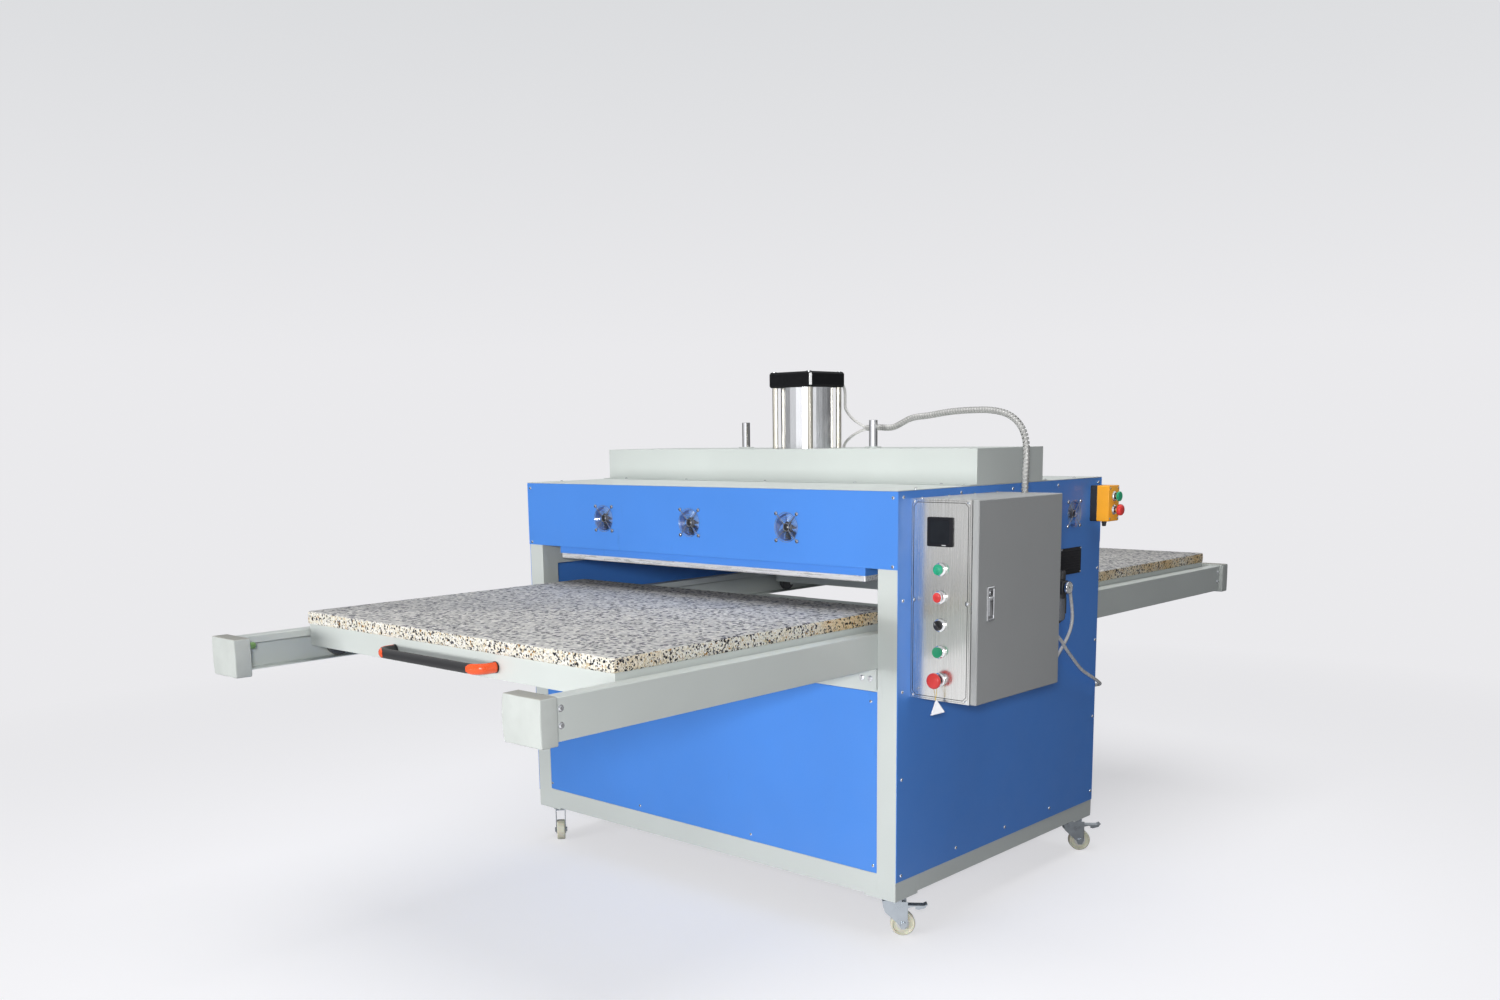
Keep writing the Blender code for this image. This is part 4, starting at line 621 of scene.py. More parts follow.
def panel_screws():
    """Screws on every outer sheet; the unseen sides repeat the seen ones."""
    shape = Shape()
    side = [(-502, z) for z in (69, 324, 552, 784, 1041)] + [(510, z) for z in (82, 321, 561, 783)]
    side += [(y, 1042) for y in (-245, 11, 260, 502)] + [(y, 82) for y in (-247, 4, 256)]
    for way, (y, z) in product((1, -1), side):
        screw(shape, (way * RIGHT_X, y, z), way * X)
    for way, x, z in product((1, -1), (-705, 705), (870, 1040)):
        screw(shape, (x, way * FRONT_Y, z), -way * Y)
    lower = ((-651, 85), (-236, 85), (218, 85), (646, 85), (-637, 521), (637, 521))
    for way, (x, z) in product((1, -1), lower):
        screw(shape, (x, way * LOWER_FRONT_Y, z), -way * Y, 4.2)
    for x, y in product((-690, 690), (-407, -187, 237, 407)):
        screw(shape, (x, y, TOP_Z), Z)
    foot = extent("beam_cover")[0].z + 2
    for y, x in product((-188, 188), (-620, -341, -9, 329, 620)):
        screw(shape, (x, y, foot), Z)
    shape.finish("panel_screws", "screw dark", "zinc")


# Fans
FANS = [(f"front_fan_rotor_{number}", -Y, -FRONT_Y) for number in (1, 2, 3)]
FANS.append(("side_fan_rotor", X, RIGHT_X))
GUARD_RINGS = (17, 21.5, 26, 30.5, 35, 39.5)
GUARD_WIRE, GUARD_EYE, GUARD_MIDDLE = 1.1, 4.7, 10.5
GUARD_CORNER = 35.75       # half the pitch of an 80 mm fan's screws
HUB_R, BLADE_TIP, BLADES = 15, 33.8, 7


def fan_guards():
    """Wire rings over each fan, on four arms that end under its screws."""
    shape = Shape()
    for node, axis, face in FANS:
        middle = sum(extent(node), Vector()) / 2
        base = middle + axis * (face - middle.dot(axis) + GUARD_WIRE * 1.2)
        side = Z.cross(axis).normalized()
        for radius in GUARD_RINGS:
            shape.wire(circle(base + axis * GUARD_WIRE, axis, radius, 40), GUARD_WIRE * 0.55, 6, True)
        for a, b in CORNERS:
            corner = base + GUARD_CORNER * (a * side + b * Z)
            inward = (base - corner).normalized()
            start, end = corner + inward * 4.5, base - inward * GUARD_MIDDLE
            shape.wire([start, (start + end) / 2, end], GUARD_WIRE, 6)
            shape.wire(circle(corner, axis, GUARD_EYE, 16), GUARD_WIRE * 0.9, 6, True)
            screw(shape, corner - axis * 0.8, axis, 5.2, 4)
        shape.wire(circle(base, axis, GUARD_MIDDLE, 24), GUARD_WIRE, 6, True)
    shape.finish("fan_guards", "wire dark", "chrome", sharp=50)


def fan_rotor(node, axis):
    """A hub with swept blades, in place of the plain rotor."""
    low, high = extent(node)
    middle, reach = (low + high) / 2, abs((high - low).dot(axis)) / 2
    side = Z.cross(axis).normalized()
    up = axis.cross(side)
    shape = Shape()
    hub = [(HUB_R - 1, -reach), (HUB_R, 1 - reach), (HUB_R, reach - 1.5), (HUB_R - 1.5, reach), (4, reach),
           (3.2, reach - 0.8)]
    shape.on(1).lathe(hub, middle, axis, 28)
    shape.on(2).lathe([(3.4, 0), (3.2, 0.6), (0, 1.4)], middle + axis * (reach - 0.8), axis, 20)
    steps = [step / 5 for step in range(6)]
    for blade in range(BLADES):
        rings = []
        for span in steps:
            line = []
            for t in steps:
                angle = math.tau * blade / BLADES + 0.30 * span + (0.66 - 0.12 * span) * t
                out = math.cos(angle) * side + math.sin(angle) * up
                lift = (t - 0.5) * 1.55 * reach + 1.6 * math.sin(math.pi * t)
                line.append(middle + (HUB_R - 1 + (BLADE_TIP - HUB_R + 1) * span) * out + axis * lift)
            rings.append(shape.points(line + [point + 0.9 * axis for point in line[::-1]]))
        shape.on(0).skin(rings)
    shape.dress(node, "fan_blade black_plastic screw", "black_plastic", node, 60)


# Pads, handles and rails
PAD_CORNER, PAD_STEP = 6, 7
PAD_SIDE = PAD_CORNER - 0.01       # nearer the outline than this, a point is pulled in from a side


def pad(node, body):
    """Rebonded sponge with a felt face; its cut edge is crumbly and its top edge pressed round."""
    low, high = extent(node)
    middle, half = (low + high) / 2, (high - low) / 2
    outline = rounded(middle, X, Y, half.x, half.y, PAD_CORNER, 3)
    outline = outline[-4:] + outline[:-4]
    places = []
    for first, second in zip(outline, outline[1:] + outline[:1]):
        parts = max(1, round((second - first).length / PAD_STEP))
        places += [first.lerp(second, part / parts) for part in range(parts)]
    uneven = random.Random(len(node))
    shape, rings = Shape(), []
    for z, inset, rough in ((low.z, 3, 0), (low.z + 2, 0.8, 0.3), (low.z + 9, 0.2, 1), (low.z + 16, 0, 1),
                            (low.z + 23, 0.2, 1), (high.z - 5, 0.6, 1), (high.z - 2.4, 1.2, 0.6),
                            (high.z - 0.8, 2.6, 0.3), (high.z, 5.5, 0.1)):
        ring = []
        for place in places:
            shift = inset + rough * uneven.uniform(0, 0.9)
            x, y = (part - math.copysign(shift, part - centre) * (abs(part - centre) > size - PAD_SIDE)
                    for part, centre, size in zip(place.xy, middle.xy, half.xy))
            ring.append((x, y, z))
        rings.append(shape.points(ring))
    shape.skin(rings, 6)
    piece = shape.dress(node, "pad_foam pad_felt", "pad", body, 60)


HANDLE_OUT, HANDLE_BEND, HANDLE_W = 50, 30, 433
HANDLE_HALF = 12.2         # half the height of the bar's oval
HANDLE_FLAT = 0.80         # its depth as a share of its height
INSERT_PROUD = 0.9
INSERT_SPREAD = math.radians(76)


def handle(node, body, facing):
    """An oval black bar on bent legs, with orange inserts round the outside of its elbows."""
    low, high = extent(node)
    root = Vector((0, high.y if facing < 0 else low.y, (low.z + high.z) / 2))
    half = HANDLE_W / 2 - HANDLE_HALF
    arcs, feet = [], [root + side * half * X for side in (-1, 1)]
    for side in (-1, 1):
        centre = root + side * (half - HANDLE_BEND) * X + facing * (HANDLE_OUT - HANDLE_BEND) * Y
        angles = [math.pi / 24 * step for step in range(13)]
        arcs.append([centre + HANDLE_BEND * (math.sin(angle) * side * X + math.cos(angle) * facing * Y)
                     for angle in angles])
    shape = Shape()
    shape.sweep([feet[0], *arcs[0][::-1], *arcs[1], feet[1]],
                oval(HANDLE_HALF * HANDLE_FLAT, HANDLE_HALF, 28), hint=-X)
    shape.on(1)
    for side, arc, foot in zip((-1, 1), arcs, feet):
        route = [arc[0] - side * 4 * X, *arc, foot + facing * 0.5 * Y]
        rings = []
        for index, point in enumerate(route):
            outward = heading(route, index).cross(Z)
            outward *= math.copysign(1, outward.dot(point - root))
            spread = INSERT_SPREAD * math.sqrt(min(1, 0.12 + index / 4))
            angles = [spread * (step / 5 - 1) for step in range(11)]
            rings.append(shape.points([
                point + share * HANDLE_HALF * (HANDLE_FLAT * math.cos(angle) * outward + math.sin(angle) * Z)
                for share, turns in ((1 + INSERT_PROUD / HANDLE_HALF, angles), (0.9, angles[::-1]))
                for angle in turns]))
        shape.skin(rings)
    for foot in feet:
        shape.on(0).lathe([(HANDLE_HALF * 1.12, 0), (HANDLE_HALF * 1.12, 2), (0, 3.5)], foot, facing * Y, 24)
    shape.dress(node, "black_plastic insert_orange", "black_plastic", body, 50)


CAP_BULGE, CAP_ROUND, CAP_INSERT, CAP_END = 4, 3.2, 23, 1622
RAIL_OUTER, RAIL_END = 657.4, 1600
BUMPER_X, BUMPER_Z, BUMPER_R = 590, 676.3, 9


def end_cap(node, side, end):
    """A moulded cap whose inner cheek bows out, with its socket and the tray's green bumper."""
    low, high = extent(node)
    back = end * (RAIL_END - CAP_INSERT)
    low.y, high.y = sorted((back, end * CAP_END))
    middle = (low + high) / 2
    shape = Shape()
    shape.block(low, high)
    tall = [edge for edge in shape.mesh.edges if abs((edge.verts[0].co - edge.verts[1].co).z) > 50]
    bmesh.ops.subdivide_edges(shape.mesh, edges=tall, cuts=5, use_grid_fill=True)
    for vert in shape.mesh.verts:
        rise = (vert.co.z - middle.z) / (high.z - middle.z)
        front = end * (vert.co.y - middle.y) > 0
        if side * (vert.co.x - middle.x) < 0:
            vert.co.x += side * CAP_BULGE * rise ** 2 * (1 if front else 0.4)
        if front:
            vert.co.y -= end * 1.5 * rise ** 2
    corners = [edge for edge in shape.mesh.edges if edge.calc_face_angle(0) > math.radians(50)]
    shape.ease(corners, CAP_ROUND, 4)
    base, axis = Vector((side * BUMPER_X, back, BUMPER_Z)), -end * Y
    shape.on(1).lathe([(6.5, 0), (6.5, 12)], base, axis, 20)
    shape.on(2).ring([(4, 10), (BUMPER_R - 1, 10), (BUMPER_R, 12), (BUMPER_R, 30), (BUMPER_R - 1.5, 32),
                      (5, 32), (4.2, 26), (4, 10)], base, axis, 24)
    shape.on(1).lathe([(4.1, 10), (4.1, 26.5), (0, 27.5)], base, axis, 12)
    shape.dress(node, "cast_grey dark rubber_green", "grey_paint", sharp=40)


def rail_bolts():
    """Bolts behind the end caps and on the bracket plates."""
    shape = Shape()
    for side, end in CORNERS:
        for z in (640, 675):
            bolt(shape, (side * RAIL_OUTER, end * 1560, z), side * X, 5.5, 4)
        for x in (612, 639, 470):
            bolt(shape, (side * x, end * 527, 581), end * Y, 6.2, 5)
    shape.finish("rail_bolts", "chrome", "zinc", sharp=30)


# Control plate
PLATE_Y = -467.3           # face of the control plate
PLATE_X, PLATE_Z = (727.5, 886.5), (543.5, 1028.5)     # its etched border
BITE_Z, BITE_R = 785, 6
ELEMENT_X = 809
HEIGHTS = {"lamp": 865, "power": 796.5, "selector": 726.5, "start": 659.5, "stop": 589.5}
SCREEN_AT, SCREEN_HALF = (807, 957), 36


def on_plate(key, proud=0):
    return Vector((ELEMENT_X, PLATE_Y - proud, HEIGHTS[key]))


def bezel(shape, point, axis, radius, height, lip=1.6):
    """A turned chrome ring whose front edge is rounded over into the button's well."""
    shape.ring([(radius - 4, 0), (radius + 1.4, 0), (radius + 1.4, 1.6), (radius, 2.6),
                (radius - 0.6, height - lip), (radius - 1.4, height - 0.3), (radius - 2.4, height),
                (radius - 3.4, height - 0.5), (radius - 4, height - 3), (radius - 4, 0)], point, axis, 32)


def control_plate_dressing():
    """Rivets, the etched border with its bites, the bezels, and the lamp's lens."""
    shape = Shape()
    for x, z in product(PLATE_X, (542.5, 1029.5, BITE_Z)):
        rivet(shape, (x, PLATE_Y, z), -Y, 3.8, 2.2)
    arc = [(BITE_R * math.sin(math.pi * t / 6), BITE_R * math.cos(math.pi * t / 6)) for t in range(7)]
    for outset, width, bite in ((0, 1.7, arc), (5, 0.7, [])):
        (x0, x1), (z0, z1) = [(low - outset, high + outset) for low, high in (PLATE_X, PLATE_Z)]
        cut = 10 + outset * 0.2
        route = [(x0 + cut, z0), (x1 - cut, z0), (x1, z0 + cut)]
        route += [(x1 - a, BITE_Z - b) for a, b in bite]
        route += [(x1, z1 - cut), (x1 - cut, z1), (x0 + cut, z1), (x0, z1 - cut)]
        route += [(x0 + a, BITE_Z + b) for a, b in bite] + [(x0, z0 + cut)]
        section = [(-0.1, -width / 2), (0.2, -width / 2), (0.2, width / 2), (-0.1, width / 2)]
        shape.on(1).sweep([(x, PLATE_Y, z) for x, z in route], section, closed=True, hint=-Y)
    shape.on(2)
    for key in ("lamp", "power", "selector", "start"):
        bezel(shape, on_plate(key, 4), -Y, 14.8, 3.5, 1)
    bezel(shape, on_plate("stop", 3), -Y, 16, 5.2)
    dome = [(11.2, 6), (11.3, 11), (13.6, 11.4), (13.9, 14), (13, 15.8), (9.5, 17.2), (5, 17.9), (0, 18.1)]
    shape.on(3).lathe(dome, on_plate("lamp"), -Y, 32)
    shape.finish("control_plate_dressing", "screw engraved chrome lens_green", "chrome", sharp=40)


def display():
    """The display: a stepped bezel round a pane."""
    shape = Shape()
    x, z = SCREEN_AT
    rows = ((0, 0, 3, 0), (0, 0, 3, 5), (0.6, 0.6, 2.8, 6.4), (1.8, 1.8, 2.4, 7), (6.6, 6.6, 1.4, 7),
            (7.4, 7.4, 1, 5.8))
    shape.tower((x, PLATE_Y, z), -Y, (SCREEN_HALF, SCREEN_HALF), rows, 5)
    shape.on(2).block((x + 8, PLATE_Y - 7.2, z - 33), (x + 20, PLATE_Y - 6.8, z - 31.2))
    shape.on(0).block((x - 30, PLATE_Y, z - 30), (x + 30, PLATE_Y + 45, z + 30), 1)
    shape.dress("touch_screen", "dark glass collar_white", "black_plastic", sharp=40)


STEM_R, STEM = 9.2, -22    # a button's stem and how deep it goes behind the plate


def button(name, point, axis, finishes, slot, cap, stem, sides=(36, 20), ring=None):
    """A push button's head on material 0 and its stem on material 1."""
    shape = Shape()
    shape.lathe(cap, point, axis, sides[0])
    shape.on(1).lathe(stem, point, axis, sides[1])
    if ring:
        shape.ring(ring, point, axis, sides[0])
    shape.dress(name, finishes, slot, name, 40)


def plate_buttons():
    """Lit power button, flat start button, the selector with its grip, and the mushroom stop."""
    stem = [(8.6, STEM), (STEM_R, STEM + 1), (STEM_R, 4)]
    dome = [(10, 3.5), (10.2, 11.8), (12.2, 12.2), (12.6, 16), (11.8, 17.2), (9, 17.8), (0, 18.2)]
    button("power_button", on_plate("power"), -Y, "lens_red collar_white", "red", dome, stem,
           ring=[(12.4, 12), (13.6, 12.2), (13.6, 16), (12.6, 16.4)])
    flat = [(10, 3.5), (10.2, 11.8), (13.4, 12.2), (13.7, 15), (13, 16.2), (11.6, 15.8), (0, 15.2)]
    button("start_button", on_plate("start"), -Y, "green dark", "green", flat, stem)

    shape = Shape()
    point = on_plate("selector")
    shape.lathe([(STEM_R, STEM), (STEM_R, 8), (12.4, 8.4), (12.6, 12.4), (11.4, 13.6)], point, -Y, 32)
    turn = Matrix.Translation(point) @ rotation(-32, "Y")
    shape.block((-3.8, -20.5, -10.8), (3.8, -8, 12), 1.8, 3, turn)
    shape.on(1).block((-0.7, -20.8, 1), (0.7, -20, 11.2), 0.2, 1, turn)
    shape.dress("mode_selector", "black_plastic collar_white", "black_plastic", "mode_selector", 40)

    mushroom = [(16.5, 22.2), (18.8, 22.8), (20, 24.4), (20, 27.2), (19, 30.2), (16.5, 32.4), (12, 33.6),
                (6, 34)]
    neck = [(STEM_R, STEM), (STEM_R, 6), (9.4, 19), (11.8, 22.2), (0, 22.6)]
    button("emergency_stop", on_plate("stop"), -Y, "red chrome", "red", mushroom, neck, (44, 32))


TAG = ((811, 543), (795.5, 498.5), (838, 513.5))
TAG_FAR, TAG_NEAR = PLATE_Y - 16.5, PLATE_Y - 19.5


def pull_tag():
    """The triangular tag under the stop button, on its doubled string."""
    corners = [Vector((x, 0, z)) for x, z in TAG]
    middle = sum(corners, Vector()) / 3
    outline = [corners[index].lerp(corners[(index + step) % 3], 0.05)
               for index, step in product(range(3), (-1, 1))]
    shape = Shape()
    shape.skin([shape.points([point.lerp(middle, inset) + y * Y for point in outline]) for y, inset in
                ((TAG_FAR, 0.03), (TAG_FAR - 0.6, 0), (TAG_NEAR + 0.6, 0), (TAG_NEAR, 0.03))])
    tag = shape.finish("pull_tag", "tag_white", "nylon", "emergency_stop", 30)
    start = on_plate("stop", 16.5) - Vector((3.5, 0, 9.8))
    route = offsets(start, ((0, 0, 0), (-1.2, -1.2, -12)))
    route += offsets(corners[0] + TAG_NEAR * Y, ((-2.2, -0.4, 14), (-0.8, -1, 2), (0, -1.2, -3),
                                                 (0.8, -1, 2.4), (2.6, -0.4, 14)))
    route += offsets(start, ((7, -0.6, -12), (7, 0, -0.5)))
    cord("tag_string", through(route), 0.7, 6, "string_yellow", "nylon", "emergency_stop", 60,
         stiffness="limp", lay="hanging", with_pieces=[tag])


# Control box and station
def door_dressing():
    """Latch with its raised frame, push and keyhole; screws on top of the box; seal behind the door."""
    low, high = extent("door_latch")
    base = Vector((high.x, (low.y + high.y) / 2, (low.z + high.z) / 2))
    halves = (high.y - low.y) / 2, (high.z - low.z) / 2
    shape = Shape()
    shape.tower(base, X, halves, ((0, 0.6, 3, -6), (0, 0.1, 3, -4), (0, 1.1, 3, -1.4), (0.8, 2.5, 2.6, -0.4),
                                  (2, 4.2, 2, 0), (4, 6.2, 1.5, -0.3), (4.6, 6.8, 1.2, -1.8)))
    paddle = base - 6 * Z
    shape.tower(paddle, X, (8.8, 23.5), ((0, 0, 2, -2), (0, 0, 2, -0.6), (0.8, 0.9, 1.6, 0)))
    keyhole = base + Vector((-2.2, 0, 27.5))
    shape.ring([(4.8, 0), (6.2, 0), (6.2, 1.8), (4.8, 1.8)], keyhole, X, 24)
    shape.lathe([(3.4, 0), (3.2, 1.6), (0, 1.8)], keyhole, X, 20)
    shape.on(1).lathe([(6.5, 0), (6.5, 0.8)], keyhole, X, 24)
    # painted shade: dark bars stand for the key's slot and for a groove across the push
    shape.block(keyhole + Vector((1.4, -0.4, -2.4)), keyhole + Vector((2, 0.4, 2.4)))
    shape.block(paddle + Vector((-0.2, -5.2, 12)), paddle + Vector((0.2, 5.2, 13.2)))
    shape.dress("door_latch", "chrome dark", "steel", "door_latch")

    box_low, box_high = extent("control_box")
    shape = Shape()
    for y in (-440, -320, -200, -90):
        screw(shape, (box_low.x + 12, y, box_high.z), Z, 3.6, 2.6)
    shape.finish("box_screws", "screw dark", "zinc")

    low, high = extent("control_door")
    shape = Shape()
    x, y0, y1, z0, z1 = low.x + 1.2, low.y + 6, box_high.y - 6, low.z + 6, high.z - 6
    section = [(-1.3, -3.5), (1.3, -3.5), (1.3, 3.5), (-1.3, 3.5)]
    shape.sweep([(x, y0, z0), (x, y1, z0), (x, y1, z1), (x, y0, z1)], section, closed=True, hint=X)
    shape.finish("door_seal", "dark", "black_plastic", "control_door")


def blank_plate():
    """Ribbed black plate with four rivets behind the control box."""
    shape = Shape()
    x, y0, y1, z0, z1 = RIGHT_X, 283, 404, 778, 856
    shape.block((x + 0.2, y0, z0), (x + 2.2, y1, z1), 0.6)
    for index in range(9):
        z = z0 + 9.5 + index * (z1 - z0 - 19) / 8
        shape.block((x + 1.8, y0 + 8, z - 1.6), (x + 3.4, y1 - 8, z + 1.6), 0.8)
    for y, z in product((y0 + 4, y1 - 4), (z0 + 4, z1 - 4)):
        rivet(shape.on(1), (x + 2.2, y, z), X, 3, 1.6)
    shape.finish("blank_plate", "dark screw", "black_plastic")


STATION_SPLIT, STATION_DEEP, STATION_Z = 21.5, 60, (1002, 962)


def station():
    """Two-button station: black base, orange cover with its screws, chrome collars and buttons."""
    low, high = extent("button_station")
    middle, half = (low + high) / 2, (high - low) / 2
    base, halves = Vector((low.x, middle.y, middle.z)), (half.y, half.z)
    split, deep = STATION_SPLIT, STATION_DEEP
    shape = Shape()
    shape.on(1).tower(base, X, halves, ((0, 0, 4, 0), (0, 0, 4, split - 0.8), (0.6, 0.6, 3.6, split)))
    shape.on(0).tower(base, X, halves, ((1, 1, 3.4, split - 0.6), (0, 0, 4, split + 0.6), (0, 0, 4, deep - 3),
                                        (0.9, 0.9, 3.6, deep - 0.9), (3, 3, 2, deep)))
    face = low.x + deep
    for z in STATION_Z:
        bezel(shape.on(2), (face, middle.y, z), X, 13.6, 5.6)
    for y, z in product((low.y + 8, high.y - 8), (low.z + 8, high.z - 8)):
        shape.on(3).lathe([(3.4, 0), (3.4, 0.6), (2.4, 1.2)], (face, y, z), X, 14)
        # painted shade: a dark bar on each screw head stands for its slot
        shape.on(4).block((face + 1, y - 2.2, z - 0.3), (face + 1.4, y + 2.2, z + 0.3))
    gland = [(8, -1), (8, 6), (6.6, 7), (6.6, 13), (5, 16)]
    shape.on(1).lathe(gland, (low.x + 30, middle.y, low.z), -Z, 6)
    shape.dress("button_station", "orange black_plastic chrome screw dark", "orange")

    flat = [(13.8, 12.5), (14.5, 13.6), (14.5, 18.8), (13.3, 20), (0, 20.2)]
    domed = [(14.2, 16), (16.5, 16.8), (17, 19.6), (16.4, 24.8), (13.4, 27.9), (8, 28.9), (0, 29)]
    for name, z, slot, cap in (("station_start_button", STATION_Z[0], "green", flat),
                               ("station_stop_button", STATION_Z[1], "red", domed)):
        button(name, Vector((high.x - 4, middle.y, z)), X, slot + " chrome", slot, cap,
               [(7, -12), (7.2, cap[0][1] + 0.4)], (36, 24))


# Compressed air
REGULATOR = Vector((746, 240, 750))
INLET, INLET_ARM = Vector((600, 544, 380)), 14
KNOB_R, KNOB_RIB, KNOB_SIDES = 14.2, 0.8, 48


def regulator():
    """Filter regulator: bracket, ribbed knob, body with its gauge, bowl and fittings."""
    shape = Shape()
    x, y, z = REGULATOR
    under, dial = REGULATOR - 19 * Z, REGULATOR + Z
    shape.tower(under, Z, (19, 19), ((2, 2, 4, 0), (0, 0, 4, 4), (0, 0, 4, 34), (2, 2, 4, 38.5)))
    shape.lathe([(15, 0), (15, 4)], REGULATOR + 19 * Z, Z, 28)
    rim = [(KNOB_R + KNOB_RIB * (index % 2)) * Vector((x, y, 0))
           for index, (x, y) in enumerate(oval(1, 1, KNOB_SIDES))]
    shape.skin([shape.points([REGULATOR + height * Z + size * point for point in rim])
                for height, size in ((23.5, 0.93), (24.5, 1), (45.5, 1), (47.5, 0.93))])
    shape.lathe([(12.8, 0), (11.8, 1.2), (0, 1.4)], REGULATOR + 47.4 * Z, Z, 28)
    shape.block((RIGHT_X + 0.3, y - 16, z - 30), (RIGHT_X + 2.8, y + 16, z + 40), 0.8)
    shape.block((RIGHT_X + 1, y - 14, z + 19.5), (x + 2, y + 14, z + 22.2), 0.8)
    shape.block((RIGHT_X + 1, y - 10, z - 10), (x - 17, y + 10, z + 10), 0.8)
    shape.lathe([(17.2, 0), (17.2, 11), (16, 12.5)], under, -Z, 32)
    shape.lathe([(6, 77), (6, 81), (3.5, 83), (3.5, 85)], under, -Z, 16)
    for angle in (0.25, 1.25):
        side = Vector((math.cos(math.pi * angle), math.sin(math.pi * angle), 0)) * 16
        shape.tower(REGULATOR + side - 30 * Z, -Z, (3, 2), ((0, 0, 0.8, 0), (0, 0, 0.8, 46)))
    shape.on(1).lathe([(0, 10), (15.8, 12), (16, 66), (14.6, 74), (9, 78.5), (0, 79)], under, -Z, 36)
    shape.on(2).lathe([(7, 18), (7, 22.5), (6.2, 23), (6.2, 25.5), (5, 30)], REGULATOR, Y, 6)
    shape.lathe([(7.8, 18), (7.8, 24), (6, 25)], REGULATOR, -Y, 6)
    shape.on(3).lathe([(5, 16), (5, 21.5), (16.5, 22), (18, 23.2), (18, 30), (17.2, 31.2), (15.8, 31.2),
                       (15.4, 30)], dial, X, 36)
    shape.on(4).lathe([(15.4, 29.8), (15.4, 30.3)], dial, X, 36)
    shape.on(5).lathe([(1.6, 30), (1.3, 31.2)], dial, X, 16)
    needle = Matrix.Translation(dial + 30.6 * X) @ Matrix.Rotation(0.9, 4, "X")
    shape.block((-0.2, -0.4, -3), (0.2, 0.4, 12), matrix=needle)
    for step in range(11):
        spoke = Matrix.Translation(dial + 30.4 * X) @ rotation(27 * step - 135, "X")
        shape.block((-0.1, -0.3, 11.5), (0.1, 0.3, 14), matrix=spoke)
    shape.dress("air_regulator", "black_plastic bowl brass chrome white_plastic dark", "black_plastic",
                sharp=38)

    shape = Shape()
    elbow = INLET - INLET_ARM * X
    shape.lathe([(12.2, -22.5), (13, -21.5), (13, -15.5), (10, -14.2), (9.2, -10), (9.2, 7.8), (8.4, 8.8)],
                elbow, Y, 6)
    shape.lathe([(0, 0), (8.6, 6), (8.6, 9.8)], elbow, X, 20)
    shape.on(1).ring([(0, 9.6), (8.2, 9.6), (8.6, 10.2), (8.6, 13.6), (7.6, 14.2), (5.4, 14.2)], elbow, X, 24)
    shape.finish("air_inlet_fitting", "brass black_plastic", "steel")


HOSE_R, SUPPLY_R, BUNDLE_PITCH, WRAP_R = 4.2, 5, 4.3, 9
WRAP_PITCH, WRAP_RIBBON, WRAP_STEPS = 10.5, 6.6, 12
BOX_TOP_HOLE = (815, -88, 1058)
FROM_CYLINDER = ((178, 72, 1213), (235, 52, 1214), (300, 36, 1214))
TO_BOX = ((-440, 106, 180), (-365, 88, 187), (-285, 69, 195), (-205, 50, 198), (-125, 30, 196),
          (-65, 16, 184), (-25, 7, 159), (-3, 2, 123), (3, 0, 73), (1, 0, 28), (0, 0, -33))
UPPER_HOSE = ((1, 14, -4), (4, 27, -29), (5, 28, -59), (12, 22, -87), (50, 4, -115), (102, -14, -138))
LOWER_HOSE = ((2, 14, 4), (6, 19, 20), (8, 18, 42), (9, 17, 80), (40, 5, 105), (92, -11, 125))
FROM_REGULATOR = ((0, 56, -14), (-1, 72, -60), (-1, 78, -100), (-2, 66, -138), (-4, 32, -176),
                  (-5, -15, -212), (-4, -68, -228), (-1, -116, -210), (4, -136, -168), (8, -116, -128),
                  (11, -70, -118), (12, -18, -146), (11, 22, -180), (6, 68, -212), (-1, 145, -262))
TO_INLET = ((144, -89, 75), (140, -39, 52), (127, -6, 39), (103, 5.5, 31), (72, 5, 23), (40, 1.5, 12),
            (15, 0, 2), (5, 0, 0), (0.3, 0, 0))
PORT_X, PORT_Y, UPPER_Z, LOWER_Z = 48, 94.3, 1359, 1078


def hose(name, route, radius):
    return cord(name, route, radius, 14, "hose", "hose", "machine", 70, stiffness="stiff", lay="loose")


def side_by_side(route, shift):
    """A route moved sideways by so much, square to its run and level."""
    return [point + heading(route, index).cross(Vector((0.25, 0.45, 0.86))).normalized() * shift
            for index, point in enumerate(route)]


